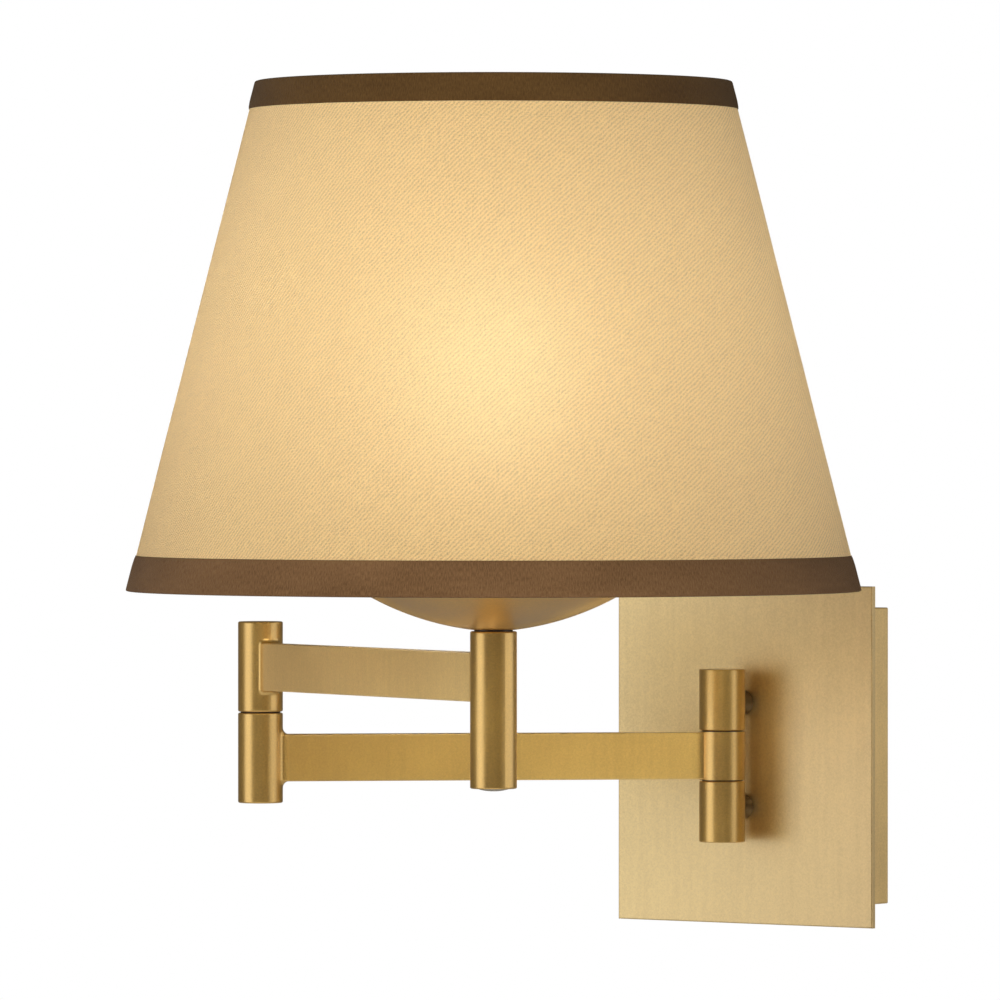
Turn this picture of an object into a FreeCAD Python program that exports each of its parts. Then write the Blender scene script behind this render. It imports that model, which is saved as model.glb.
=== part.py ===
import FreeCAD, Part
import math
import os

import Sketcher

# Swing arm wall sconce, in millimetres.
# The origin is the centre of the wall bracket's back face, on the wall. +Z is up, +Y goes into the wall
# and -Y into the room. A shallow pan carries a front plate and an upright hinge. The lower arm swings on
# that hinge, the upper arm swings on the elbow above the lower arm's end, and the upper arm's stem
# carries the dish, the lamp holder, the shade and, in its foot, a push-button switch.

Vector = FreeCAD.Vector

DIMENSIONS = {
    # front plate, pan and bracket
    "plate_width": 112.5,
    "plate_height": 123.8,
    "plate_thickness": 2.0,
    "plate_side_overhang": 7.1,
    "plate_end_overhang": 8.0,
    "pan_depth": 19.0,
    "sheet_thickness": 1.2,
    "pan_corner_radius": 0.6,
    "bracket_width": 25.0,
    "bracket_thickness": 1.6,
    "bracket_reach": 14.0,
    "bracket_gap": 0.4,
    "slot_spacing": 79.4,
    "slot_length": 14.4,
    "slot_radius": 2.4,
    "side_screw_radius": 2.0,
    "side_screw_setback": 9.0,
    # wall hinge
    "hinge_reach": 35.0,
    "hinge_radius": 8.4,
    "hinge_height": 63.0,
    "arm_knuckle_height": 17.5,
    "knuckle_gap": 0.5,
    "stud_spacing": 38.0,
    "standoff_radius": 4.6,
    "spigot_radius": 3.2,
    "stud_radius": 3.9,
    "stud_hole_clearance": 0.15,
    "stud_end": 10.0,
    "wireway_radius": 2.0,
    "nut_flats": 13.0,
    "nut_height": 5.0,
    "washer_radius": 7.5,
    "washer_thickness": 1.0,
    "lug_thickness": 0.8,
    "lug_tail": 11.0,
    "ground_screw_x": 7.5,
    "ground_screw_z": -24.0,
    # arms
    "arm_length": 169.0,
    "lower_heading": 223.5,
    "upper_heading": 336.0,
    "barrel_radius": 8.1,
    "bar_height": 17.0,
    "bar_thickness": 8.0,
    "channel_height": 12.0,
    "channel_width": 4.4,
    "elbow_split": 16.5,
    "elbow_gap": 0.4,
    "barrel_height": 32.6,
    "pivot_radius": 5.0,
    "pivot_bore_radius": 3.6,
    "running_clearance": 0.05,
    "wall": 2.5,
    "edge_round": 0.6,
    "bar_round": 0.5,
    "bearing_length": 8.5,
    "nut_chamber_radius": 6.7,
    "pivot_foot": 1.0,
    "pivot_engagement": 9.5,
    # stem, dish and lamp holder
    "stem_bottom": -5.3,
    "stem_top": 49.1,
    "stem_bore_radius": 6.9,
    "stem_roof_thickness": 7.5,
    "nipple_radius": 4.8,
    "nipple_bore_radius": 3.3,
    "dish_bottom": 49.6,
    "dish_radius": 57.0,
    "dish_rise": 20.9,
    "dish_belly_radius": 29.4,
    "dish_belly_rise": 5.3,
    "dish_hub_radius": 7.7,
    "dish_thickness": 0.8,
    "holder_bottom": 53.6,
    "holder_body_bottom": 63.8,
    "holder_radius": 16.4,
    "holder_top": 100.0,
    "contact_height": 72.2,
    "bulb_radius": 24.0,
    "bulb_length": 92.0,
    "bulb_neck_height": 32.0,
    "bulb_waist_radius": 16.9,
    "filament_stem_height": 34.0,
    "filament_height": 24.0,
    # shade
    "shade_bottom": 63.0,
    "shade_height": 176.0,
    "shade_bottom_radius": 127.0,
    "shade_top_radius": 82.3,
    "bottom_trim_height": 12.3,
    "top_trim_height": 9.7,
    "trim_thickness": 0.5,
    "fabric_thickness": 0.6,
    "liner_thickness": 0.4,
    "ring_wire_radius": 1.2,
    "ring_setback": 1.8,
    "spider_wire_radius": 1.1,
    "spider_height": 83.0,
    "spider_turn": 114.0,
    # push button
    "button_radius": 5.8,
    "button_flange_radius": 6.6,
    "button_crown": 6.2,
    "plunger_radius": 2.0,
    "switch_bottom": 4.0,
    "switch_top": 20.0,
    # wiring
    "lead_radius": 0.75,
    "lead_offset": 0.85,
    "hinge_lead_top": 2.9,
    "elbow_lead_end": 0.6,
    "wire_nut_near_x": 24.0,
    "wire_nut_far_x": 36.0,
    "wire_nut_y": -8.0,
    "wire_nut_top": -15.0,
}

doc = FreeCAD.newDocument("SwingArmSconce")
pieces = []


class Size:
    """A number that also knows the spreadsheet expression it comes from."""

    def __init__(self, value, text):
        self.value = value
        self.text = text

    def __float__(self):
        return float(self.value)

    def __add__(self, other):
        return Size(self.value + float(other), f"({self.text} + {words(other)})")

    def __sub__(self, other):
        return Size(self.value - float(other), f"({self.text} - {words(other)})")

    def __rsub__(self, other):
        return Size(float(other) - self.value, f"({words(other)} - {self.text})")

    def __mul__(self, other):
        return Size(self.value * float(other), f"({self.text} * {words(other)})")

    def __truediv__(self, other):
        return Size(self.value / float(other), f"({self.text} / {words(other)})")

    def __neg__(self):
        return Size(-self.value, f"(0 - {self.text})")

    __radd__ = __add__
    __rmul__ = __mul__


def words(number):
    """The expression text of a Size or of a plain number."""
    return number.text if isinstance(number, Size) else repr(float(number))


def cosine(angle):
    return Size(math.cos(math.radians(float(angle))), f"cos({angle.text} * 1 deg)")


def sine(angle):
    return Size(math.sin(math.radians(float(angle))), f"sin({angle.text} * 1 deg)")


def read_sheet():
    """Fill the spreadsheet and hand back its cells as Sizes."""
    sheet = doc.addObject("Spreadsheet::Sheet", "Dims")
    cells = {}
    for row, (alias, value) in enumerate(DIMENSIONS.items(), start=1):
        sheet.set(f"A{row}", alias)
        sheet.set(f"B{row}", str(value))
        sheet.setAlias(f"B{row}", alias)
        cells[alias] = Size(value, f"Dims.{alias}")
    doc.recompute()
    return cells


SHEET = read_sheet()


class Dims:
    """Reads a cell as an attribute, so that D.plate_width is the plate's width."""

    def __getattr__(self, alias):
        return SHEET[alias]


D = Dims()

# Places worked out from the sheet
PLATE_FRONT = -(D.pan_depth + D.plate_thickness)
PAN_WIDTH = D.plate_width - D.plate_side_overhang * 2
PAN_HEIGHT = D.plate_height - D.plate_end_overhang * 2
WEB_BACK = D.sheet_thickness - D.pan_depth
STUD_Z = D.stud_spacing / 2
STUD_HOLE = D.stud_radius + D.stud_hole_clearance
HINGE_Y = -D.hinge_reach
ELBOW_X = D.arm_length * cosine(D.lower_heading)
ELBOW_Y = D.arm_length * sine(D.lower_heading) - D.hinge_reach
STEM_X = D.arm_length * cosine(D.upper_heading) + ELBOW_X
STEM_Y = D.arm_length * sine(D.upper_heading) + ELBOW_Y
BORE = D.pivot_radius + D.running_clearance
LOWER_BARREL_TOP = D.elbow_split - D.elbow_gap / 2
LOWER_BARREL_BOTTOM = LOWER_BARREL_TOP - D.barrel_height
UPPER_BARREL_BOTTOM = D.elbow_split + D.elbow_gap / 2
UPPER_BAR_Z = UPPER_BARREL_BOTTOM + D.barrel_height / 2
SHADE_TOP = D.shade_bottom + D.shade_height
SHADE_SLOPE = (D.shade_bottom_radius - D.shade_top_radius) / D.shade_height
PIVOT_TOP = D.elbow_split + D.pivot_engagement
STEM_ROOF = D.stem_top - D.stem_roof_thickness
HOLDER_LEAD_END = D.holder_body_bottom - 0.1
CAP_BOTTOM = D.contact_height + 4.6

# Frames with +X along an arm: at the wall hinge, at the lower arm's far end, at the elbow and at the stem
WALL_HINGE_FRAME = (0.0, HINGE_Y, D.lower_heading)
LOWER_END_FRAME = (ELBOW_X, ELBOW_Y, D.lower_heading)
ELBOW_FRAME = (ELBOW_X, ELBOW_Y, D.upper_heading)
STEM_FRAME = (STEM_X, STEM_Y, D.upper_heading)


# ---------------------------------------------------------------- building blocks


def bind(item, name, size):
    """Give a property its number and, where it comes from the sheet, its expression."""
    setattr(item, name, float(size))
    if isinstance(size, Size):
        item.setExpression(name, size.text)


def move(item, x=0.0, y=0.0, z=0.0, rotation=None):
    """Place an object, with each coordinate bound to the sheet where it comes from there."""
    item.Placement = FreeCAD.Placement(Vector(float(x), float(y), float(z)), rotation or FreeCAD.Rotation())
    for name, size in (("x", x), ("y", y), ("z", z)):
        if isinstance(size, Size):
            item.setExpression(f"Placement.Base.{name}", size.text)
    return item


def into_frame(item, frame):
    """Carry an object from its arm's own frame, with +X along the arm, to its place in the row."""
    x, y, heading = frame
    move(item, x, y)
    item.setExpression("Placement.Rotation.Angle", f"{heading.text} * 1 deg")
    return item


def piece(item, label, frame=None):
    """Name a finished sub-part, place it and list it for export."""
    item.Label = label
    if frame:
        into_frame(item, frame)
    pieces.append(item)
    return item


AXIS_TURN = {
    "x": FreeCAD.Rotation(Vector(0, 1, 0), 90),
    "y": FreeCAD.Rotation(Vector(1, 0, 0), -90),
    "z": FreeCAD.Rotation(),
}


def cylinder(radius, height, x=0.0, y=0.0, z=0.0, along="z"):
    item = doc.addObject("Part::Cylinder", "Round")
    bind(item, "Radius", radius)
    bind(item, "Height", height)
    return move(item, x, y, z, AXIS_TURN[along])


def cone(radius_start, radius_end, height, x=0.0, y=0.0, z=0.0, along="z"):
    item = doc.addObject("Part::Cone", "Taper")
    bind(item, "Radius1", radius_start)
    bind(item, "Radius2", radius_end)
    bind(item, "Height", height)
    return move(item, x, y, z, AXIS_TURN[along])


def block(width, depth, height, x, y, z):
    """A box with its low corner at x, y, z."""
    item = doc.addObject("Part::Box", "Block")
    bind(item, "Length", width)
    bind(item, "Width", depth)
    bind(item, "Height", height)
    return move(item, x, y, z)


def hexagon(flats, height, x=0.0, y=0.0, z=0.0, along="z"):
    item = doc.addObject("Part::Prism", "Hexagon")
    item.Polygon = 6
    bind(item, "Circumradius", flats / math.sqrt(3))
    bind(item, "Height", height)
    return move(item, x, y, z, AXIS_TURN[along])


def fuse(items):
    item = doc.addObject("Part::MultiFuse", "Joined")
    item.Shapes = items
    item.Refine = True
    return item


def cut(base, *tools):
    item = doc.addObject("Part::Cut", "Cut")
    item.Base = base
    item.Tool = tools[0] if len(tools) == 1 else fuse(list(tools))
    return item


def group(items):
    """Separate solids kept side by side in one sub-part."""
    item = doc.addObject("Part::Compound", "Group")
    item.Links = items
    return item


def round_edges(base, rules):
    """Fillet the edges that each rule's test picks, with that rule's radius."""
    doc.recompute()
    item = doc.addObject("Part::Fillet", "Rounded")
    item.Base = base
    edges = []
    for number, edge in enumerate(base.Shape.Edges, start=1):
        for test, radius in rules:
            if test(edge):
                edges.append((number, float(radius), float(radius)))
                break
    item.Edges = edges
    return item


class Via:
    """The middle point of an arc between an outline's corners before and after it."""

    def __init__(self, x, y):
        self.point = (x, y)


def outline_sketch(body, outline, role):
    """A closed sketch through the outline's corners, each pinned to the sheet's sizes."""
    sketch = body.newObject("Sketcher::SketchObject", body.Name + "_outline")
    plane = next(item for item in body.Origin.OriginFeatures if item.Role == role)
    sketch.AttachmentSupport = [(plane, "")]
    sketch.MapMode = "FlatFace"
    corners = [item for item in outline if not isinstance(item, Via)]
    flat = [Vector(float(x), float(y), 0) for x, y in corners]
    vias = {}
    for place, item in enumerate(outline):
        if isinstance(item, Via):
            before = sum(not isinstance(other, Via) for other in outline[:place]) - 1
            vias[before] = Vector(float(item.point[0]), float(item.point[1]), 0)
    ends = []
    for number, start in enumerate(flat):
        stop = flat[(number + 1) % len(flat)]
        if number in vias:
            index = sketch.addGeometry(Part.Arc(start, vias[number], stop), False)
            forward = sketch.getPoint(index, 1).distanceToPoint(start) < 1e-6
            ends.append((index, 1, 2) if forward else (index, 2, 1))
            radius = sketch.Geometry[index].Radius
            sketch.addConstraint(Sketcher.Constraint("Radius", index, radius))
        else:
            index = sketch.addGeometry(Part.LineSegment(start, stop), False)
            ends.append((index, 1, 2))
    for number, (index, _, stop) in enumerate(ends):
        following, start, _ = ends[(number + 1) % len(ends)]
        sketch.addConstraint(Sketcher.Constraint("Coincident", index, stop, following, start))
    for (index, start, _), corner in zip(ends, corners):
        for kind, size in zip(("DistanceX", "DistanceY"), corner):
            pin = sketch.addConstraint(Sketcher.Constraint(kind, -1, 1, index, start, float(size)))
            if isinstance(size, Size):
                sketch.setExpression(f"Constraints[{pin}]", size.text)
    return sketch


def turned(name, outline):
    """A lathe-turned body: the outline of radius and height is revolved about Z."""
    body = doc.addObject("PartDesign::Body", name)
    sketch = outline_sketch(body, outline, "XZ_Plane")
    revolve = body.newObject("PartDesign::Revolution", name + "_turn")
    revolve.Profile = sketch
    revolve.ReferenceAxis = (sketch, ["V_Axis"])
    revolve.Angle = 360
    return body


def ring_outline(inner, outer, bottom, top, edge=0.2):
    """The section of a plain ring or disc with its outer edges broken."""
    return [
        (inner, bottom),
        (outer - edge, bottom),
        (outer, bottom + edge),
        (outer, top - edge),
        (outer - edge, top),
        (inner, top),
    ]


def wave_outline(inner, outer, bottom, pitch, turns, depth):
    """The section of a thin threaded shell, rippled inside and outside alike."""
    outside = []
    inside = []
    for turn in range(turns):
        level = bottom + pitch * turn
        outside += [(outer - depth, level), (outer, level + pitch / 2)]
        inside += [(inner - depth, level), (inner, level + pitch / 2)]
    top = bottom + pitch * turns
    return outside + [(outer - depth, top), (inner - depth, top)] + inside[::-1]


def rounded_path(points, radii):
    """Straight runs through the points, joined at each inner point by a tangent arc."""
    edges = []
    start = points[0]
    for before, corner, after, radius in zip(points, points[1:], points[2:], radii):
        back = (before - corner).normalize()
        ahead = (after - corner).normalize()
        half = back.getAngle(ahead) / 2
        trim = radius / math.tan(half)
        arc_start = corner + back * trim
        arc_end = corner + ahead * trim
        middle_way = (back + ahead).normalize()
        middle = corner + middle_way * (radius / math.sin(half) - radius)
        if (arc_start - start).Length > 1e-6:
            edges.append(Part.LineSegment(start, arc_start).toShape())
        edges.append(Part.Arc(arc_start, middle, arc_end).toShape())
        start = arc_end
    edges.append(Part.LineSegment(start, points[-1]).toShape())
    return Part.Wire(edges)


def swept_solid(path, wire_radius, frenet=False):
    """A round wire of that radius along the path."""
    start = path.Edges[0].firstVertex().Point
    tangent = path.Edges[0].tangentAt(path.Edges[0].FirstParameter)
    section = Part.Wire(Part.Circle(start, tangent, float(wire_radius)).toShape())
    return path.makePipeShell([section], True, frenet)


def leads(name, routes):
    """Insulated leads, each a list of points with the bend radii at its inner points."""
    item = doc.addObject("Part::Feature", name)
    solids = []
    for points, radii in routes:
        path = rounded_path([Vector(*map(float, point)) for point in points], radii)
        solids.append(swept_solid(path, D.lead_radius))
    item.Shape = Part.makeCompound(solids)
    return item


def is_straight(edge, axis):
    """True for a straight edge along that axis."""
    if edge.Curve.TypeId != "Part::GeomLine":
        return False
    return abs(abs(edge.Curve.Direction.dot(axis)) - 1) < 1e-6


def is_ring(edge, radius, level):
    """True for a level circular edge of that radius at that height."""
    if edge.Curve.TypeId != "Part::GeomCircle":
        return False
    return abs(edge.Curve.Radius - float(radius)) < 1e-4 and abs(edge.Curve.Center.z - float(level)) < 1e-4


# ---------------------------------------------------------------- wall mount


def make_front_plate():
    plate = block(
        D.plate_width, D.plate_thickness, D.plate_height, -D.plate_width / 2, PLATE_FRONT, -D.plate_height / 2
    )
    front = float(PLATE_FRONT)

    def at_front(edge):
        return abs(edge.BoundBox.YMax - front) < 1e-6

    plate = round_edges(plate, [(at_front, 0.5)])
    holes = [
        cylinder(STUD_HOLE, D.plate_thickness + 2, y=PLATE_FRONT - 1, z=STUD_Z * side, along="y")
        for side in (-1, 1)
    ]
    piece(cut(plate, *holes), "front_plate")


def make_back_pan():
    outer = block(PAN_WIDTH, D.pan_depth, PAN_HEIGHT, -PAN_WIDTH / 2, -D.pan_depth, -PAN_HEIGHT / 2)
    outer = round_edges(outer, [(lambda edge: is_straight(edge, Vector(0, 1, 0)), D.pan_corner_radius)])
    inside = block(
        PAN_WIDTH - D.sheet_thickness * 2,
        D.pan_depth,
        PAN_HEIGHT - D.sheet_thickness * 2,
        D.sheet_thickness - PAN_WIDTH / 2,
        WEB_BACK,
        D.sheet_thickness - PAN_HEIGHT / 2,
    )
    holes = [
        cylinder(STUD_HOLE, D.sheet_thickness + 2, y=-D.pan_depth - 1, z=STUD_Z * side, along="y")
        for side in (-1, 1)
    ]
    for side in (-1, 1):
        middle = (PAN_HEIGHT / 2) * side
        holes.append(cylinder(D.side_screw_radius + 0.2, 6, y=-D.side_screw_setback, z=middle - 3))
    piece(cut(outer, inside, *holes), "back_pan")


def make_wall_bracket():
    height = PAN_HEIGHT - D.sheet_thickness * 2 - D.bracket_gap * 2
    strap = block(
        D.bracket_width, D.bracket_reach, height, -D.bracket_width / 2, -D.bracket_reach, -height / 2
    )

    def at_back(edge):
        return is_straight(edge, Vector(1, 0, 0)) and abs(edge.BoundBox.YMin) < 1e-6

    strap = round_edges(strap, [(at_back, 1.5)])
    inside = block(
        D.bracket_width + 2,
        D.bracket_reach,
        height - D.bracket_thickness * 2,
        -D.bracket_width / 2 - 1,
        -D.bracket_reach - D.bracket_thickness,
        D.bracket_thickness - height / 2,
    )
    tools = [inside]
    half_run = D.slot_length / 2 - D.slot_radius
    depth = D.bracket_thickness + 2
    for side in (-1, 1):
        centre = (D.slot_spacing / 2) * side
        for end in (-1, 1):
            tools.append(cylinder(D.slot_radius, depth, y=-depth + 1, z=centre + half_run * end, along="y"))
        low = centre - half_run
        tools.append(block(D.slot_radius * 2, depth, half_run * 2, -D.slot_radius, -depth + 1, low))
        tapped = D.side_screw_radius + D.running_clearance
        tools.append(cylinder(tapped, 6, y=-D.side_screw_setback, z=(height / 2) * side - 3))
    tools.append(cylinder(2.05, depth, x=D.ground_screw_x, y=-depth + 1, z=D.ground_screw_z, along="y"))
    piece(cut(strap, *tools), "wall_bracket")


def pan_head_screw(name, shank_radius, shank_length, head_radius, head_height):
    """A slotted pan head screw standing on its head's underside, with the shank going down."""
    body = turned(
        name,
        [
            (0.0, -shank_length),
            (shank_radius - 0.4, -shank_length),
            (shank_radius, 0.4 - shank_length),
            (shank_radius, 0.0),
            (head_radius, 0.0),
            (head_radius, head_height * 0.45),
            Via(head_radius * 0.82, head_height * 0.9),
            (head_radius * 0.45, head_height),
            (0.0, head_height),
        ],
    )
    slot = block(head_radius * 2.2, 0.9, head_height, -head_radius * 1.1, -0.45, head_height * 0.55)
    return cut(body, slot)


def make_side_screws():
    screws = []
    for side, turn in ((1, 0), (-1, 180)):
        screw = pan_head_screw("SideScrew", 2.0, 6.5, 3.6, 2.2)
        rotation = FreeCAD.Rotation(Vector(1, 0, 0), turn)
        screws.append(move(screw, 0.0, -D.side_screw_setback, (PAN_HEIGHT / 2) * side, rotation))
    piece(group(screws), "pan_side_screws")


def make_ground_screw():
    head = hexagon(D.nut_flats * 0.55, 2.4, along="y")
    shank = cylinder(2.0, D.bracket_thickness - 0.2, y=2.4, along="y")
    screw = cut(fuse([head, shank]), block(8, 1.0, 0.9, -4, -0.4, -0.45))
    move(screw, D.ground_screw_x, -D.bracket_thickness - 2.4, D.ground_screw_z)
    piece(screw, "ground_screw")


def make_hinge_knuckles():
    """The two fixed knuckles of the wall hinge: the top one blind, the bottom one open for assembly."""
    half_gap = D.arm_knuckle_height / 2 + D.knuckle_gap
    outer = D.hinge_radius
    end = D.hinge_height / 2
    edge = 0.3
    roof = end - D.wall
    top = turned(
        "TopKnuckle",
        [
            (BORE, half_gap),
            (outer - edge, half_gap),
            (outer, half_gap + edge),
            (outer, end - edge),
            (outer - edge, end),
            (0.0, end),
            (0.0, roof),
            (BORE, roof),
        ],
    )
    bottom = turned("BottomKnuckle", ring_outline(BORE, outer, -end, -half_gap, edge))
    for body, label, level in ((top, "hinge_knuckle_top", STUD_Z), (bottom, "hinge_knuckle_bottom", -STUD_Z)):
        hole = cylinder(D.spigot_radius + D.running_clearance, D.hinge_radius + 2, z=level, along="y")
        piece(move(cut(body, hole), 0.0, HINGE_Y), label)


def make_standoffs():
    """Hollow standoffs from the knuckles to the plate, with threaded tails for the nuts inside the pan."""
    face = D.hinge_radius
    plate = D.hinge_reach + PLATE_FRONT
    tail = D.hinge_reach - D.stud_end
    made = []
    for side in (-1, 1):
        body = turned(
            "Standoff",
            [
                (D.wireway_radius, D.pivot_radius + 0.3),
                (D.spigot_radius, D.pivot_radius + 0.3),
                (D.spigot_radius, face - 1.2),
                (D.standoff_radius, face - 1.2),
                (D.standoff_radius, plate - 0.8),
                Via(D.standoff_radius - 0.24, plate - 0.24),
                (D.standoff_radius - 0.8, plate),
                (D.stud_radius - 0.05, plate),
                (D.stud_radius - 0.05, tail - 0.5),
                (D.stud_radius - 0.55, tail),
                (D.wireway_radius, tail),
            ],
        )
        seat = cut(move(body, 0.0, 0.0, STUD_Z * side, AXIS_TURN["y"]), knuckle_relief(side))
        made.append(move(seat, 0.0, HINGE_Y))
    piece(group(made), "hinge_standoffs")


def knuckle_relief(side):
    """The ring of space that the knuckle fills around a standoff's spigot."""
    level = STUD_Z * side
    knuckle = cylinder(D.hinge_radius + D.running_clearance, 14, z=level - 7)
    spigot = cylinder(D.spigot_radius, D.hinge_radius * 2, z=level, along="y")
    return cut(knuckle, spigot)


def make_stud_hardware():
    """Flat washers, a lock washer, an earthing lug and the nuts on the standoffs' tails."""
    hole = D.stud_radius + 0.1
    flat = []
    nuts = []
    nut_y = WEB_BACK + D.washer_thickness + D.lug_thickness
    for side in (-1, 1):
        level = STUD_Z * side
        disc = cylinder(D.washer_radius, D.washer_thickness, y=WEB_BACK, z=level, along="y")
        flat.append(cut(disc, cylinder(hole, 4, y=WEB_BACK - 1, z=level, along="y")))
        prism = hexagon(D.nut_flats, D.nut_height, y=nut_y, z=level, along="y")
        nuts.append(cut(prism, cylinder(hole - 0.1, 9, y=nut_y - 1, z=level, along="y")))
    piece(group(flat), "stud_washers")
    piece(group(nuts), "stud_nuts")
    lug_y = WEB_BACK + D.washer_thickness
    lock = cylinder(D.washer_radius - 1.2, D.lug_thickness, y=lug_y, z=STUD_Z, along="y")
    split = block(1.0, 2, 5, -0.5, lug_y - 0.5, STUD_Z + D.stud_radius - 0.5)
    bore = cylinder(hole, 4, y=lug_y - 1, z=STUD_Z, along="y")
    piece(cut(lock, bore, split), "stud_lock_washer")
    eye = cylinder(6.6, D.lug_thickness, y=lug_y, z=-STUD_Z, along="y")
    tail = block(D.lug_tail, D.lug_thickness, 4.0, 0.0, lug_y, -STUD_Z - 2.0)
    crimp = cylinder(1.6, 6.0, x=D.lug_tail - 0.5, y=lug_y + D.lug_thickness / 2 + 0.8, z=-STUD_Z, along="x")
    bore = cylinder(hole, 4, y=lug_y - 1, z=-STUD_Z, along="y")
    piece(cut(fuse([eye, tail, crimp]), bore), "earth_lug")


def make_hinge_pivot():
    """The hollow hinge tube, with a hole behind the top knuckle and a slot that the arm's leads swing in."""
    slot_width, slot_depth, slot_height = 14.0, 9.9, 9.0
    bottom = 3.1 - D.hinge_height / 2
    top = D.hinge_height / 2 - D.wall - 0.1
    tube = turned("HingePivot", ring_outline(D.pivot_bore_radius, D.pivot_radius, bottom, top, 0.3))
    wire_hole = cylinder(D.spigot_radius - 0.2, 8, z=STUD_Z, along="y")
    slot = block(slot_width, slot_depth, slot_height, -slot_width / 2, -8.0, -5.5)
    piece(move(cut(tube, wire_hole, slot), 0.0, HINGE_Y), "hinge_pivot")


def make_hinge_plug():
    """The threaded plug that closes the bottom knuckle, with a screwdriver slot."""
    bottom = -D.hinge_height / 2
    plug = turned("HingePlug", ring_outline(0.0, D.pivot_radius, bottom + 0.1, bottom + 3.0, 0.3))
    slot = block(7.0, 1.0, 1.1, -3.5, -0.5, bottom)
    piece(move(cut(plug, slot), 0.0, HINGE_Y), "hinge_bottom_plug")


def make_hinge_washers():
    """Thin bearing washers above and below the arm's knuckle."""
    thickness = D.knuckle_gap - 0.1
    made = []
    for side in (-1, 1):
        middle = (D.arm_knuckle_height / 2 + D.knuckle_gap / 2) * side
        bottom = middle - thickness / 2
        section = ring_outline(BORE + 0.1, D.hinge_radius - 0.9, bottom, bottom + thickness, 0.1)
        made.append(turned("HingeWasher", section))
    piece(move(group(made), 0.0, HINGE_Y), "hinge_washers")


def make_wire_nuts():
    """Twist-on connectors that join the house wires to the two leads inside the pan."""
    made = []
    for x in (D.wire_nut_near_x, D.wire_nut_far_x):
        shell = turned(
            "WireNut",
            [
                (1.7, 0.0),
                (5.2, 0.0),
                (5.2, -4.0),
                (4.4, -5.0),
                (3.2, -18.0),
                Via(2.6, -19.4),
                (1.2, -20.0),
                (0.0, -20.0),
                (0.0, -14.0),
                (1.7, -12.0),
            ],
        )
        ribs = [
            cylinder(0.5, 12.0, x=4.45 * math.cos(turn), y=4.45 * math.sin(turn), z=-16.5)
            for turn in (math.radians(45 * number) for number in range(8))
        ]
        made.append(move(cut(shell, *ribs), x, D.wire_nut_y, D.wire_nut_top))
    piece(group(made), "wire_nuts")


def make_wall_leads():
    """The two supply leads: out of the wire nuts, through the top standoff and down the hinge tube."""
    far = -float(D.hinge_reach)
    offset = float(D.lead_offset)
    level = float(STUD_Z)
    routes = []
    for x, lift, end_radius in ((D.wire_nut_near_x, 1, 3.0), (D.wire_nut_far_x, -1, 1.3)):
        z = level + offset * lift
        y = far - offset * lift
        points = [
            (x, D.wire_nut_y, D.wire_nut_top - 10.0),
            (x, D.wire_nut_y, z - 5.0),
            (x - 9.0, -4.6, z),
            (0.0, -4.6, z),
            (0.0, y, z),
            (0.0, y, D.hinge_lead_top + 0.3),
        ]
        routes.append((points, (5.0, 6.0, 3.6, end_radius)))
    piece(leads("WallLeads", routes), "wall_leads")


def make_earth_lead():
    """The earth lead from the lug on the bottom stud to the green screw on the bracket."""
    lug_y = float(WEB_BACK + D.washer_thickness) + D.lug_thickness / 2 + 0.8
    start = D.lug_tail + 5.6
    z = -float(STUD_Z)
    points = [
        (start, lug_y, z),
        (start + 5.0, lug_y, z),
        (start + 5.0, lug_y, z - 18.0),
        (start - 4.0, -3.0, z - 18.0),
        (D.ground_screw_x + 1.0, -3.0, D.ground_screw_z - 5.4),
        (D.ground_screw_x - 3.4, -3.0, D.ground_screw_z - 5.4),
    ]
    piece(leads("EarthLead", [(points, (2.6, 4.0, 3.5, 2.4))]), "earth_lead")


# ---------------------------------------------------------------- lower arm


def bar_joins_barrel(barrel_x, middle):
    """A test for the edges where the bar runs into the barrel at that place along the arm."""
    radius = float(D.barrel_radius)
    reach = float(D.bar_height) / 2 + 1e-3

    def test(edge):
        if edge.BoundBox.ZMin < middle - reach or edge.BoundBox.ZMax > middle + reach:
            return False
        points = [vertex.Point for vertex in edge.Vertexes] + [edge.valueAt(sum(edge.ParameterRange) / 2)]
        return all(abs(math.hypot(point.x - barrel_x, point.y) - radius) < 1e-3 for point in points)

    return test


def along_bar(edge):
    """A test for the bar's four long edges."""
    return is_straight(edge, Vector(1, 0, 0)) and edge.Length > 100


def bar(middle):
    """The arm's flat bar, from axis to axis."""
    return block(
        D.arm_length, D.bar_thickness, D.bar_height, 0.0, -D.bar_thickness / 2, middle - D.bar_height / 2
    )


def bar_channel(middle):
    """The wire channel inside the bar, open to the bores at both ends."""
    return block(
        D.arm_length,
        D.channel_width,
        D.channel_height,
        0.0,
        -D.channel_width / 2,
        middle - D.channel_height / 2,
    )


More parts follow.
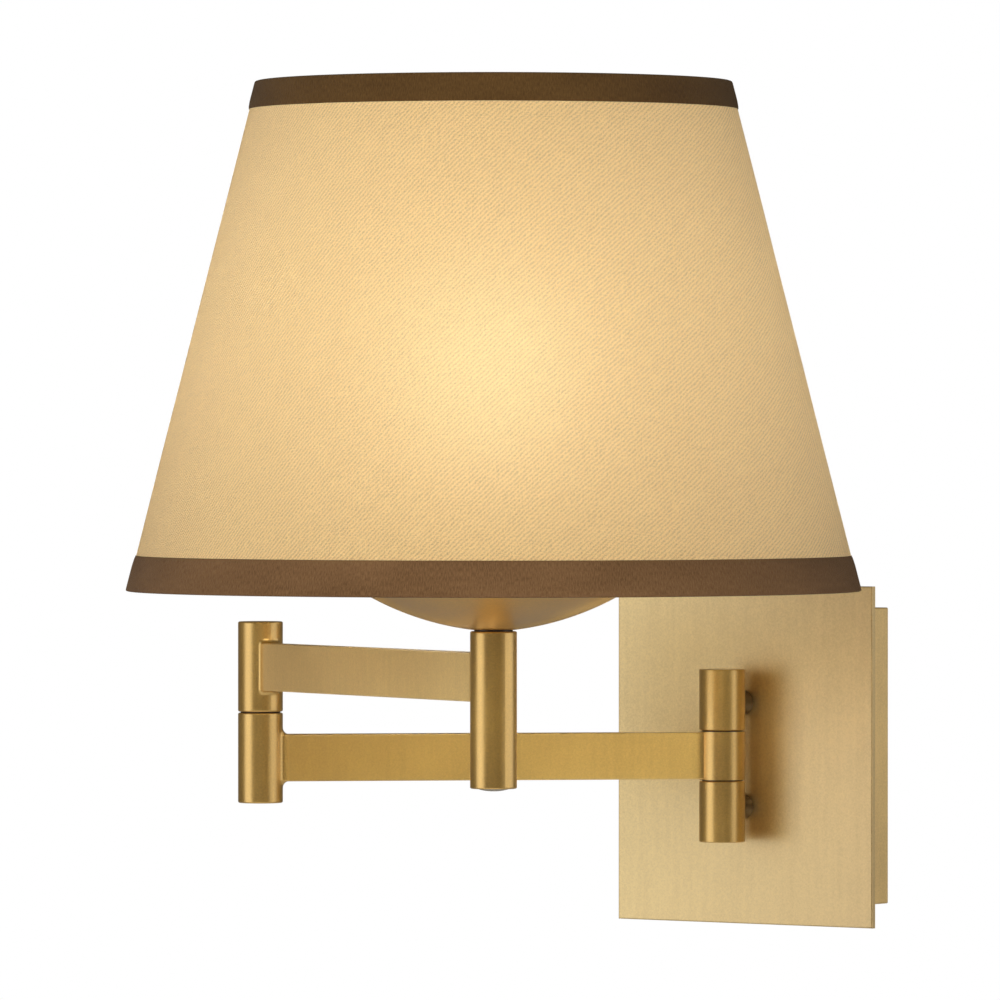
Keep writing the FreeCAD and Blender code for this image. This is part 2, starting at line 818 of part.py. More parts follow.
def make_lower_arm():
    length = float(D.arm_length)
    knuckle_half = D.arm_knuckle_height / 2
    casting = fuse(
        [
            cylinder(D.hinge_radius, D.arm_knuckle_height, z=-knuckle_half),
            bar(0.0),
            cylinder(D.barrel_radius, D.barrel_height, x=D.arm_length, z=LOWER_BARREL_BOTTOM),
        ]
    )
    rules = [
        (bar_joins_barrel(length, 0.0), 2.4),
        (along_bar, D.bar_round),
        (lambda edge: is_ring(edge, D.barrel_radius, LOWER_BARREL_BOTTOM), D.edge_round),
        (lambda edge: is_ring(edge, D.barrel_radius, LOWER_BARREL_TOP), D.edge_round),
    ]
    casting = round_edges(casting, rules)
    tools = [
        cylinder(BORE, D.arm_knuckle_height + 2, z=-knuckle_half - 1),
        bar_channel(0.0),
        cylinder(BORE, D.barrel_height, x=D.arm_length, z=LOWER_BARREL_TOP - D.bearing_length - 1),
        cylinder(
            D.nut_chamber_radius,
            D.barrel_height - D.bearing_length + 1,
            x=D.arm_length,
            z=LOWER_BARREL_BOTTOM - 1,
        ),
    ]
    piece(cut(casting, *tools), "lower_arm", WALL_HINGE_FRAME)


def make_elbow_bottom_cap():
    """The cap that closes the elbow's lower barrel, with two spanner holes."""
    bottom = LOWER_BARREL_BOTTOM
    section = ring_outline(0.0, D.nut_chamber_radius - D.running_clearance, bottom + 0.15, bottom + 2.4)
    cap = turned("ElbowCap", section)
    holes = [cylinder(0.8, 1.6, x=3.6 * side, z=bottom - 0.4) for side in (-1, 1)]
    piece(cut(cap, *holes), "elbow_bottom_cap", LOWER_END_FRAME)


def make_lower_leads():
    length = float(D.arm_length)
    offset = float(D.lead_offset)
    routes = []
    for side in (-1, 1):
        y = offset * side
        points = [(0, y, D.hinge_lead_top), (0, y, -3.0), (length, y, -3.0), (length, y, D.elbow_lead_end)]
        routes.append((points, (2.6, 2.6)))
    piece(leads("LowerLeads", routes), "lower_arm_leads", WALL_HINGE_FRAME)


def make_elbow_washer():
    """The bearing washer between the elbow's barrels."""
    thickness = D.elbow_gap - 0.1
    bottom = D.elbow_split - thickness / 2
    section = ring_outline(BORE + 0.1, D.barrel_radius - 0.9, bottom, bottom + thickness, 0.1)
    piece(turned("ElbowWasher", section), "elbow_washer", LOWER_END_FRAME)


# ---------------------------------------------------------------- upper arm


def make_upper_arm():
    length = float(D.arm_length)
    middle = float(UPPER_BAR_Z)
    upper_top = UPPER_BARREL_BOTTOM + D.barrel_height
    casting = fuse(
        [
            cylinder(D.barrel_radius, D.barrel_height, z=UPPER_BARREL_BOTTOM),
            bar(UPPER_BAR_Z),
            cylinder(D.barrel_radius, D.stem_top - D.stem_bottom, x=D.arm_length, z=D.stem_bottom),
        ]
    )
    rules = [
        (bar_joins_barrel(0.0, middle), 1.8),
        (bar_joins_barrel(length, middle), 0.6),
        (along_bar, D.bar_round),
        (lambda edge: is_ring(edge, D.barrel_radius, UPPER_BARREL_BOTTOM), D.edge_round),
        (lambda edge: is_ring(edge, D.barrel_radius, upper_top), D.edge_round),
        (lambda edge: is_ring(edge, D.barrel_radius, D.stem_bottom), D.edge_round),
        (lambda edge: is_ring(edge, D.barrel_radius, D.stem_top), D.edge_round),
    ]
    casting = round_edges(casting, rules)
    tools = [
        cylinder(BORE, PIVOT_TOP - UPPER_BARREL_BOTTOM + 1, z=UPPER_BARREL_BOTTOM - 1),
        cylinder(D.pivot_bore_radius, upper_top - D.wall - PIVOT_TOP, z=PIVOT_TOP - 0.01),
        bar_channel(UPPER_BAR_Z),
        cylinder(D.stem_bore_radius, STEM_ROOF - D.stem_bottom + 1, x=D.arm_length, z=D.stem_bottom - 1),
        cylinder(D.nipple_radius + D.running_clearance, 20, x=D.arm_length, z=STEM_ROOF - 1),
    ]
    piece(cut(casting, *tools), "upper_arm", ELBOW_FRAME)


def make_elbow_pivot():
    """The hollow threaded tube fixed in the upper barrel, that turns in the lower one."""
    section = ring_outline(D.pivot_bore_radius, D.pivot_radius, D.pivot_foot, PIVOT_TOP, 0.3)
    piece(turned("ElbowPivot", section), "elbow_pivot", ELBOW_FRAME)


def make_elbow_nut():
    """A thin nut, a little smaller than the ones in the pan."""
    prism = hexagon(D.nut_flats * 0.86, 3.2, z=D.pivot_foot + 0.6)
    bore = cylinder(BORE, 6.0, z=D.pivot_foot)
    piece(cut(prism, bore), "elbow_nut", ELBOW_FRAME)


def make_elbow_spring_washer():
    """A sprung washer between the nut and the bearing shoulder, which gives the elbow its drag."""
    low = D.pivot_foot + 3.9
    shoulder = LOWER_BARREL_TOP - D.bearing_length - 0.1
    inner = BORE + 0.05
    outer = D.nut_chamber_radius - 0.3
    section = [
        (inner, shoulder - 0.7),
        (outer, low),
        (outer, low + 0.7),
        (inner, shoulder),
    ]
    piece(turned("SpringWasher", section), "elbow_spring_washer", ELBOW_FRAME)


def make_upper_leads():
    """One lead to the lamp holder and one down to the switch."""
    length = float(D.arm_length)
    offset = float(D.lead_offset)
    level = float(UPPER_BAR_Z)
    start = D.pivot_foot + 0.2
    routes = []
    for y, end in ((offset, HOLDER_LEAD_END), (-offset, D.switch_top + 0.1)):
        points = [(0, y, start), (0, y, level), (length, y, level), (length, y, end)]
        routes.append((points, (3.0, 3.0)))
    piece(leads("UpperLeads", routes), "upper_arm_leads", ELBOW_FRAME)


def make_switch_lead():
    """The switched lead, from the switch up through the nipple to the lamp holder."""
    item = doc.addObject("Part::Feature", "SwitchLead")
    low = float(D.switch_top) + 0.1
    item.Shape = Part.makeCylinder(float(D.lead_radius), HOLDER_LEAD_END - low, Vector(2.3, 0, low))
    piece(item, "switch_lead", STEM_FRAME)


def make_stem_nipple():
    """The threaded tube that ties the stem, the dish and the lamp holder together."""
    section = ring_outline(D.nipple_bore_radius, D.nipple_radius, STEM_ROOF + 0.5, NIPPLE_TOP, 0.3)
    piece(turned("StemNipple", section), "stem_nipple", STEM_FRAME)


NIPPLE_TOP = D.holder_bottom + 3.4


def make_dish_spacer():
    """The dark shim between the stem and the dish."""
    section = ring_outline(D.nipple_radius + 0.1, D.barrel_radius - 1.4, D.stem_top, D.dish_bottom, 0.05)
    piece(turned("DishSpacer", section), "dish_spacer", STEM_FRAME)


def make_shade_dish():
    """The spun dish under the lamp holder: a shallow bowl with a small rolled rim."""
    low = D.dish_bottom
    thick = D.dish_thickness
    rim = D.dish_bottom + D.dish_rise
    belly = D.dish_belly_radius
    middle = low + D.dish_belly_rise
    hub = D.dish_hub_radius
    body = turned(
        "ShadeDish",
        [
            (D.nipple_radius + 0.1, low),
            (hub, low),
            Via(belly, middle),
            (D.dish_radius, rim),
            Via(D.dish_radius + 0.55, rim + 0.75),
            (D.dish_radius - 0.3, rim + 1.2),
            (D.dish_radius - 0.75, rim + thick - 0.1),
            Via(belly - 0.2, middle + thick * 1.03),
            (hub - 0.1, low + thick),
            (D.nipple_radius + 0.1, low + thick),
        ],
    )
    piece(body, "shade_dish", STEM_FRAME)


def make_dish_nut():
    low = D.dish_bottom + D.dish_thickness
    prism = hexagon(D.nut_flats, D.holder_bottom - low - 0.1, z=low)
    bore = cylinder(D.nipple_radius + D.running_clearance, 8.0, z=low - 1)
    piece(cut(prism, bore), "dish_nut", STEM_FRAME)


# ---------------------------------------------------------------- lamp holder and bulb


def make_holder_cap():
    """The holder's lower cup, threaded on the nipple."""
    low = D.holder_bottom
    outer = D.holder_radius
    section = [
        (D.nipple_radius + D.running_clearance, low),
        (9.5, low),
        (outer, low + 6.4),
        (outer, low + 13.0),
        (outer - 0.6, low + 13.0),
        (outer - 0.6, low + 6.8),
        (9.2, low + 0.9),
        (7.4, low + 0.9),
        (7.4, low + 3.0),
        (D.nipple_radius + D.running_clearance, low + 3.0),
    ]
    piece(turned("HolderCap", section), "holder_cap", STEM_FRAME)


def make_holder_body():
    """The moulded body that carries the contacts, and its two terminal screws."""
    low = D.holder_body_bottom
    outer = D.holder_radius - 1.0
    section = [
        (0.0, low),
        (outer, low),
        (outer, low + 4.6),
        (outer - 1.8, low + 4.6),
        (outer - 1.8, low + 6.4),
        (0.0, low + 6.4),
    ]
    body = turned("HolderBody", section)
    wells = [cylinder(2.1, 3.0, x=9.5 * side, z=low - 1.0) for side in (-1, 1)]
    piece(cut(body, *wells), "holder_body", STEM_FRAME)
    screws = []
    for side in (-1, 1):
        head = turned("TerminalScrew", ring_outline(0.0, 2.6, low - 1.5, low - 0.05))
        shank = cylinder(1.9, 1.8, z=low - 0.05)
        slot = block(6.0, 0.7, 0.6, -3.0, -0.35, low - 1.6)
        screws.append(move(cut(fuse([head, shank]), slot), 9.5 * side))
    piece(group(screws), "terminal_screws", STEM_FRAME)


def make_holder_shell():
    """The outer sleeve, with a shoulder for the shade frame and a thread for its ring."""
    outer = D.holder_radius
    shoulder = D.spider_height - 1.2
    section = [
        (outer - 0.6, D.holder_bottom + 13.1),
        (outer, D.holder_bottom + 13.1),
        (outer, shoulder - 1.0),
        (outer + 3.4, shoulder - 1.0),
        (outer + 3.4, shoulder),
        (outer, shoulder),
        (outer, D.holder_top),
        (outer - 0.6, D.holder_top),
    ]
    piece(turned("HolderShell", section), "holder_shell", STEM_FRAME)


def make_holder_liner():
    """The insulating sleeve inside the shell."""
    outer = D.holder_radius - 0.65
    section = ring_outline(outer - 0.5, outer, D.holder_body_bottom + 4.9, D.holder_top - 0.6, 0.1)
    piece(turned("HolderLiner", section), "holder_liner", STEM_FRAME)


def make_screw_shell():
    """The threaded contact shell that the bulb screws into."""
    low = D.holder_body_bottom + 6.5
    section = wave_outline(14.05, 14.4, low, 3.6, 7, 0.5)
    piece(turned("ScrewShell", section), "screw_shell", STEM_FRAME)


def make_centre_contact():
    low = D.holder_body_bottom + 6.4
    foot = cylinder(3.0, 0.6, z=low)
    stalk = cylinder(1.2, D.contact_height - 0.1 - low, z=low)
    piece(fuse([foot, stalk]), "centre_contact", STEM_FRAME)


def make_bulb():
    """A screw-cap bulb: threaded cap, insulator, tip contact, glass envelope and its lit filaments."""
    tip = D.contact_height
    contact = [(0.0, tip), (2.6, tip), (4.4, tip + 1.4), (0.0, tip + 1.4)]
    piece(turned("BulbTip", contact), "bulb_tip", STEM_FRAME)
    cone_top = CAP_BOTTOM
    insulator = [(0.0, tip + 1.45), (4.8, tip + 1.45), (9.6, cone_top), (0.0, cone_top)]
    piece(turned("BulbInsulator", insulator), "bulb_insulator", STEM_FRAME)
    cap = wave_outline(12.5, 12.9, cone_top + 0.05, 3.6, 5, 0.45)
    piece(turned("BulbCap", cap), "bulb_cap", STEM_FRAME)
    make_bulb_envelope(tip)
    make_bulb_filament(tip)


# Places on the bulb's round end, as shares of its radius: out from the axis and up from its centre
GLOBE_SHOULDER = (0.9, -0.4359)
GLOBE_SIDE = (0.96, 0.28)
GLOBE_CROWN = (0.28, 0.96)
GLOBE_TOP = (0.0, 0.974)


def make_bulb_envelope(tip):
    """The glass: a neck that widens in one curve into the round end, 0.8 thick throughout."""
    glass = 0.8
    centre = tip + D.bulb_length - D.bulb_radius
    neck = tip + D.bulb_neck_height
    waist = (neck + centre + D.bulb_radius * GLOBE_SHOULDER[1]) / 2

    def on_globe(place, inset):
        radius = D.bulb_radius - inset
        return (radius * place[0], centre + radius * place[1])

    body = turned(
        "BulbEnvelope",
        [
            (11.7, tip + 6.0),
            (11.7, tip + 21.0),
            (13.6, neck),
            Via(D.bulb_waist_radius, waist),
            on_globe(GLOBE_SHOULDER, 0.0),
            Via(*on_globe(GLOBE_SIDE, 0.0)),
            on_globe(GLOBE_CROWN, 0.0),
            on_globe(GLOBE_TOP, 0.0),
            on_globe(GLOBE_TOP, glass),
            on_globe(GLOBE_CROWN, glass),
            Via(*on_globe(GLOBE_SIDE, glass)),
            on_globe(GLOBE_SHOULDER, glass),
            Via(D.bulb_waist_radius - glass, waist + 0.2),
            (12.8, neck),
            (10.9, tip + 21.0),
            (10.9, tip + 6.0),
        ],
    )
    piece(body, "bulb_envelope", STEM_FRAME)


def make_bulb_filament(tip):
    """Four upright filaments between two discs, on a tapered stalk."""
    height = D.filament_height
    stalk_bottom = tip + 9.0
    stalk = cone(5.0, 2.0, D.filament_stem_height, z=stalk_bottom)
    foot_level = stalk_bottom + D.filament_stem_height - 2.0
    foot = cylinder(6.2, 1.2, z=foot_level)
    mast = cylinder(1.0, height, z=foot_level + 1.0)
    crown = cylinder(4.2, 1.2, z=foot_level + height)
    spread = 3.2
    rods = []
    for number in range(4):
        turn = math.radians(45 + 90 * number)
        rods.append(
            cylinder(0.8, height, x=spread * math.cos(turn), y=spread * math.sin(turn), z=foot_level + 0.6)
        )
    piece(fuse([stalk, foot, mast, crown] + rods), "bulb_filament", STEM_FRAME)


# ---------------------------------------------------------------- shade


def shade_radius(level, inset):
    """The shade's radius at that height, this far in from its outer surface."""
    return D.shade_bottom_radius - SHADE_SLOPE * (level - D.shade_bottom) - inset


def shade_layer(inset, thickness, low, high):
    """The section of one thin layer of the shade between two heights."""
    return [
        (shade_radius(low, inset + thickness), low),
        (shade_radius(low, inset), low),
        (shade_radius(high, inset), high),
        (shade_radius(high, inset + thickness), high),
    ]


FABRIC_INSET = D.trim_thickness
LINER_INSET = D.trim_thickness + D.fabric_thickness + 0.05
FOLD_INSET = LINER_INSET + D.liner_thickness + 0.05
LIP = 0.5
BOTTOM_RING_Z = D.shade_bottom + D.ring_setback


def make_shade_fabric():
    section = shade_layer(FABRIC_INSET, D.fabric_thickness, D.shade_bottom + LIP, SHADE_TOP - LIP)
    piece(turned("ShadeFabric", section), "shade_fabric", STEM_FRAME)


def make_shade_liner():
    section = shade_layer(LINER_INSET, D.liner_thickness, D.shade_bottom + LIP, SHADE_TOP - LIP)
    piece(turned("ShadeLiner", section), "shade_liner", STEM_FRAME)


def make_trims():
    """Ribbon bands wrapped round the shade's two edges, outside, over the edge and back inside."""
    bands = (
        ("bottom_trim", D.shade_bottom, D.bottom_trim_height, 1),
        ("top_trim", SHADE_TOP, D.top_trim_height, -1),
    )
    fold = 0.4
    for label, edge, height, up in bands:
        outer_end = edge + height * up
        inner_end = edge + (height - 3.0) * up
        turn = edge + LIP * 0.9 * up
        section = [
            (shade_radius(edge, 0.0), edge),
            (shade_radius(outer_end, 0.0), outer_end),
            (shade_radius(outer_end, FABRIC_INSET - 0.03), outer_end),
            (shade_radius(turn, FABRIC_INSET - 0.03), turn),
            (shade_radius(turn, FOLD_INSET), turn),
            (shade_radius(inner_end, FOLD_INSET), inner_end),
            (shade_radius(inner_end, FOLD_INSET + fold), inner_end),
            (shade_radius(edge, FOLD_INSET + fold), edge),
        ]
        piece(turned(label + "_band", section), label, STEM_FRAME)


def ring_radius(level):
    """The middle radius of a wire ring that rests inside the folded ribbon at that height."""
    return shade_radius(level, FOLD_INSET + 0.5) - D.ring_wire_radius * 1.05 - 0.3


def make_shade_rings():
    """The wire rings that hold the shade round at its two edges."""
    levels = {"shade_bottom_ring": BOTTOM_RING_Z, "shade_top_ring": SHADE_TOP - D.ring_setback}
    for label, level in levels.items():
        ring = doc.addObject("Part::Torus", "Ring")
        bind(ring, "Radius1", ring_radius(level))
        bind(ring, "Radius2", D.ring_wire_radius)
        into_frame(ring, STEM_FRAME)
        ring.setExpression("Placement.Base.z", level.text)
        piece(ring, label)


def make_shade_spider():
    """The frame that carries the shade: a hub on the holder's shoulder and three wires to the bottom ring."""
    hub_low = D.spider_height - 1.15
    hub_outer = D.holder_radius + 5.0
    hub = turned("SpiderHub", ring_outline(D.holder_radius + 0.15, hub_outer, hub_low, hub_low + 1.6))
    start = float(hub_outer) - 0.8
    stop = float(ring_radius(BOTTOM_RING_Z) - D.ring_wire_radius) - 0.1
    parts = [hub]
    for number in range(3):
        turn = math.radians(float(D.spider_turn) + 120 * number)
        ends = []
        for reach, level in ((start, float(hub_low) + 0.8), (stop, float(BOTTOM_RING_Z))):
            ends.append(Vector(reach * math.cos(turn), reach * math.sin(turn), level))
        run = ends[1] - ends[0]
        arm = doc.addObject("Part::Feature", "SpiderArm")
        arm.Shape = Part.makeCylinder(float(D.spider_wire_radius), run.Length, ends[0], run)
        parts.append(arm)
    bore = cylinder(D.holder_radius + 0.15, 8.0, z=hub_low - 3)
    piece(cut(fuse(parts), bore), "shade_spider", STEM_FRAME)


def make_shade_ring_nut():
    """The knurled ring that clamps the shade frame on the holder."""
    low = D.spider_height + 0.5
    blank = turned("RingNut", ring_outline(D.holder_radius + 0.1, D.holder_radius + 3.6, low, low + 4.0, 0.4))
    grooves = []
    for number in range(24):
        turn = math.radians(15 * number)
        reach = float(D.holder_radius) + 3.75
        grooves.append(cylinder(0.45, 6.0, x=reach * math.cos(turn), y=reach * math.sin(turn), z=low - 1))
    piece(cut(blank, *grooves), "shade_ring_nut", STEM_FRAME)


# ---------------------------------------------------------------- push-button switch


def make_push_button():
    """The slightly crowned button in the stem's foot, with a flange that the bezel holds in."""
    face = D.button_radius
    flange = D.button_flange_radius
    bottom = -D.button_crown
    flange_low = D.stem_bottom + 2.6
    flange_top = flange_low + 1.0
    section = [
        (0.0, bottom),
        Via(face * 0.55, bottom + 0.22),
        (face - 0.4, bottom + 0.75),
        (face, bottom + 1.15),
        (face, flange_low),
        (flange, flange_low),
        (flange, flange_top),
        (D.plunger_radius, flange_top),
        (D.plunger_radius, D.switch_bottom + 3.0),
        (0.0, D.switch_bottom + 3.0),
    ]
    piece(turned("PushButton", section), "push_button", STEM_FRAME)


def make_switch_bezel():
    """The threaded ring that closes the stem's foot around the button."""
    low = D.stem_bottom + 0.05
    outer = D.stem_bore_radius - 0.05
    section = ring_outline(D.button_radius + 0.08, outer, low, D.stem_bottom + 2.5, 0.15)
    piece(turned("SwitchBezel", section), "switch_bezel", STEM_FRAME)


def make_switch_body():
    low = D.switch_bottom
    outer = D.stem_bore_radius - 0.1
    section = [
        (D.plunger_radius + 0.08, low),
        (outer, low),
        (outer, D.switch_top - 2.0),
        (outer - 1.2, D.switch_top),
        (0.0, D.switch_top),
        (0.0, low + 8.0),
        (D.plunger_radius + 0.08, low + 8.0),
    ]
    piece(turned("SwitchBody", section), "switch_body", STEM_FRAME)


def make_switch_spring():
    """The return spring between the button's flange and the switch body."""
    low = float(D.stem_bottom) + 3.6
    high = float(D.switch_bottom)
    wire = 0.3
    coil_radius = 3.6
    turns = 4
    height = high - low - wire * 2 - 0.1
    helix = Part.makeHelix(height / turns, height, coil_radius)
    helix.translate(Vector(0, 0, low + wire + 0.05))
    item = doc.addObject("Part::Feature", "SwitchSpring")
    section = Part.Wire(Part.Circle(helix.Edges[0].firstVertex().Point, Vector(0, 1, 0), wire).toShape())
    item.Shape = Part.Wire(helix.Edges).makePipeShell([section], True, True)
    piece(item, "switch_spring", STEM_FRAME)


# ---------------------------------------------------------------- assembly and export


def check_and_export():
    """Stop on any failed object or bad shape, then write one STEP file for each sub-part."""
    doc.recompute()
    for item in doc.Objects:
        if "Invalid" in item.State or "Error" in item.State:
            raise RuntimeError(f"{item.Label} did not build: {item.State}")
    for item in pieces:
        shape = item.Shape
        if shape.isNull() or not shape.isValid() or not shape.Solids or shape.Volume <= 0:
            raise RuntimeError(f"{item.Label} has no valid solid")
    os.makedirs("parts", exist_ok=True)
    for item in pieces:
        item.Shape.exportStep(os.path.join("parts", item.Label + ".step"))
        print(f"{item.Label:22s} {len(item.Shape.Solids)} solid(s) {item.Shape.Volume:10.1f} mm3")


make_front_plate()
make_back_pan()
make_wall_bracket()
make_side_screws()
make_ground_screw()
make_hinge_knuckles()
make_standoffs()
make_stud_hardware()
make_hinge_pivot()
make_hinge_plug()
make_hinge_washers()
make_wire_nuts()
make_wall_leads()
make_earth_lead()
make_lower_arm()
make_elbow_bottom_cap()
make_lower_leads()
make_elbow_washer()
make_upper_arm()
make_elbow_pivot()
make_elbow_nut()
make_elbow_spring_washer()
make_upper_leads()
make_switch_lead()
make_stem_nipple()
make_dish_spacer()
make_shade_dish()
make_dish_nut()
make_holder_cap()
make_holder_body()
make_holder_shell()
make_holder_liner()
make_screw_shell()
make_centre_contact()
make_bulb()
make_shade_fabric()
make_shade_liner()
make_trims()
make_shade_rings()
make_shade_spider()
make_shade_ring_nut()
make_push_button()
make_switch_bezel()
make_switch_body()
make_switch_spring()
check_and_export()
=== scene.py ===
import math

import bpy
from mathutils import Euler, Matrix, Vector, noise


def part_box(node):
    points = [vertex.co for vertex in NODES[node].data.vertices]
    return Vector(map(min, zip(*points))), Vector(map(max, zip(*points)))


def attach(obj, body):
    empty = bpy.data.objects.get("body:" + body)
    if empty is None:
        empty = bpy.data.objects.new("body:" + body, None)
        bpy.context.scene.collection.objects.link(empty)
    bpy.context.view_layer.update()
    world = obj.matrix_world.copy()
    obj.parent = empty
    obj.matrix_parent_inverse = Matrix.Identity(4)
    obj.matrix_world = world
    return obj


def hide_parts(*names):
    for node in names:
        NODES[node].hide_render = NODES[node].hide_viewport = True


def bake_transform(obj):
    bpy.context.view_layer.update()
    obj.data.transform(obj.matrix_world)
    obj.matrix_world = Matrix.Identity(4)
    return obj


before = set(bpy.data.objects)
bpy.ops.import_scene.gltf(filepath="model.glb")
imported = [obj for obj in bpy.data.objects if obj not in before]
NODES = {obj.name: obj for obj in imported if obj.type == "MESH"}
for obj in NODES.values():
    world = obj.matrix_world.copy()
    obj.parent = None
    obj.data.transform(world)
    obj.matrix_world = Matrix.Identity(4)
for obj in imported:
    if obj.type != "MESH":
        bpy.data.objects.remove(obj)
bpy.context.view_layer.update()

# A swing arm wall sconce. Everything is in metres. The wall is the plane Y = 0 and the room is at -Y.
MM = 0.001
MATERIALS = {}


# ---------------------------------------------------------------- camera, stage and light


# Where the camera stands, how far it is turned from looking straight at the wall, and how far it looks down.
CAMERA_PLACE = Vector((1.85687, -2.72551, 0.11984))
CAMERA_TURN = math.radians(36.03)
CAMERA_DIP = math.radians(0.47)
CAMERA_LENS = 323.1
SENSOR_WIDTH = 36.0

# The middle of the sconce, which the lights aim at.
MIDDLE = Vector((0.0, -0.15, 0.09))


def make_camera():
    data = bpy.data.cameras.new("camera")
    data.lens = CAMERA_LENS
    data.sensor_width = SENSOR_WIDTH
    data.clip_start = 0.1
    data.clip_end = 100.0
    camera = bpy.data.objects.new("camera", data)
    camera.location = CAMERA_PLACE
    camera.rotation_euler = Euler((math.pi / 2 - CAMERA_DIP, 0.0, CAMERA_TURN))
    bpy.context.scene.collection.objects.link(camera)
    bpy.context.scene.camera = camera


def make_light(name, turn, rise, reach, size, power, glossy=True):
    """A soft rectangular light that far from the sconce, aimed at it.

    A turn of 0 degrees is in front of the wall and 90 is along +X. The rise is from the horizontal.
    """
    turn, rise = math.radians(turn), math.radians(rise)
    level = math.cos(rise)
    away = Vector((math.sin(turn) * level, -math.cos(turn) * level, math.sin(rise)))
    data = bpy.data.lights.new(name, "AREA")
    data.shape = "RECTANGLE"
    data.size, data.size_y = size
    data.energy = power
    light = bpy.data.objects.new(name, data)
    light.location = MIDDLE + away * reach
    light.rotation_euler = away.to_track_quat("Z", "Y").to_euler()
    light.visible_glossy = glossy
    light.visible_camera = False
    bpy.context.scene.collection.objects.link(light)


def make_world(seen, felt):
    """A plain studio: the camera sees one colour, and the object is lit by the other, dimmer one."""
    world = bpy.data.worlds.new("studio")
    world.use_nodes = True
    tree = world.node_tree
    tree.nodes.clear()
    out = tree.nodes.new("ShaderNodeOutputWorld")
    mix = tree.nodes.new("ShaderNodeMixShader")
    path = tree.nodes.new("ShaderNodeLightPath")
    dim = tree.nodes.new("ShaderNodeBackground")
    dim.inputs["Color"].default_value = (*felt, 1.0)
    bright = tree.nodes.new("ShaderNodeBackground")
    bright.inputs["Color"].default_value = (*seen, 1.0)
    tree.links.new(path.outputs["Is Camera Ray"], mix.inputs["Fac"])
    tree.links.new(dim.outputs["Background"], mix.inputs[1])
    tree.links.new(bright.outputs["Background"], mix.inputs[2])
    tree.links.new(mix.outputs["Shader"], out.inputs["Surface"])
    bpy.context.scene.world = world


# ---------------------------------------------------------------- material building


# Most of a noise's values lie between these two.
NOISE_LOW, NOISE_HIGH = 0.3, 0.7


class Graph:
    """A new material and short ways to add its nodes."""

    def __init__(self, name):
        self.material = bpy.data.materials.new(name)
        self.material.use_nodes = True
        self.tree = self.material.node_tree
        self.tree.nodes.clear()
        self.output = self.tree.nodes.new("ShaderNodeOutputMaterial")

    def node(self, kind, inputs, **settings):
        made = self.tree.nodes.new("ShaderNode" + kind)
        for key, value in settings.items():
            setattr(made, key, value)
        for key, value in inputs.items():
            if isinstance(value, bpy.types.NodeSocket):
                self.tree.links.new(value, made.inputs[key])
            else:
                made.inputs[key].default_value = value
        return made

    def scaled(self, place, scale):
        return self.node("Mapping", {"Vector": place, "Scale": scale}).outputs[0]

    def place(self, scale):
        """The object's own coordinates, in metres, times the scale of each axis."""
        return self.scaled(self.node("TexCoord", {}).outputs["Object"], scale)

    def flat_place(self):
        """Where the point lies on the flat cloth, in millimetres, from the piece's UVs."""
        return self.scaled(self.node("TexCoord", {}).outputs["UV"], (1000.0, 1000.0, 1.0))

    def noise(self, place, detail, rough):
        inputs = {"Vector": place, "Scale": 1.0, "Detail": detail, "Roughness": rough}
        return self.node("TexNoise", inputs).outputs["Fac"]

    def even_noise(self, per_metre, detail, rough):
        """Noise that is as fine in every direction."""
        return self.noise(self.place((per_metre, per_metre, per_metre)), detail, rough)

    def math(self, operation, a, b=0.0, c=0.0):
        return self.node("Math", {0: a, 1: b, 2: c}, operation=operation).outputs[0]

    def wave(self, phase):
        """Goes smoothly from 0 to 1 and back each time that the phase grows by 1."""
        sine = self.math("SINE", self.math("MULTIPLY", phase, 2.0 * math.pi))
        return self.math("MULTIPLY_ADD", sine, 0.5, 0.5)

    def weigh(self, *parts):
        """The sum of (value, weight) pairs."""
        total = None
        for value, weight in parts:
            part = self.math("MULTIPLY", value, weight)
            total = part if total is None else self.math("ADD", total, part)
        return total

    def spread(self, value, low, high, start=NOISE_LOW, stop=NOISE_HIGH):
        """Maps a value from start..stop on to low..high."""
        source = {"Value": value, "From Min": start, "From Max": stop}
        return self.node("MapRange", {**source, "To Min": low, "To Max": high}).outputs[0]

    def share(self, value, start=NOISE_LOW, stop=NOISE_HIGH):
        """Maps a value from start..stop on to 0..1."""
        return self.spread(value, 0.0, 1.0, start, stop)

    def mix(self, share, a, b, kind="MIX"):
        """Mixes two colours. Plain colours are given as three numbers."""
        a, b = (v if isinstance(v, bpy.types.NodeSocket) else (*v, 1.0) for v in (a, b))
        made = self.node("Mix", {0: share, 6: a, 7: b}, data_type="RGBA", blend_type=kind)
        return made.outputs[2]

    def bump(self, height, distance, strength=1.0):
        inputs = {"Height": height, "Distance": distance, "Strength": strength}
        return self.node("Bump", inputs).outputs[0]

    def surface(self, **inputs):
        """A Principled shader; a name's underscores stand for spaces."""
        named = {}
        for key, value in inputs.items():
            if isinstance(value, tuple) and len(value) == 3:
                value = (*value, 1.0)
            named[key.replace("_", " ")] = value
        return self.node("BsdfPrincipled", named).outputs[0]

    def finish(self, shader):
        self.tree.links.new(shader, self.output.inputs["Surface"])
        return self.material


def axis_of(node):
    """The upright axis through the middle of a CAD node, as a point on it."""
    low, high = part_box(node)
    return (low + high) / 2


# The brass is turned on the barrels, and changes to the blasted finish at these distances from their axes.
TURNED_REACH = 0.009
BLASTED_REACH = 0.011

# How metallic the brass is, and how much is added to that and to its roughness where it is blasted.
BRASS_METALLIC = 0.95
BLASTED_METALLIC = -0.70
BLASTED_ROUGHNESS = 0.16

# What the colour is multiplied by where its tone is deepest.
DEEP_TONE = (0.80, 0.77, 0.72)


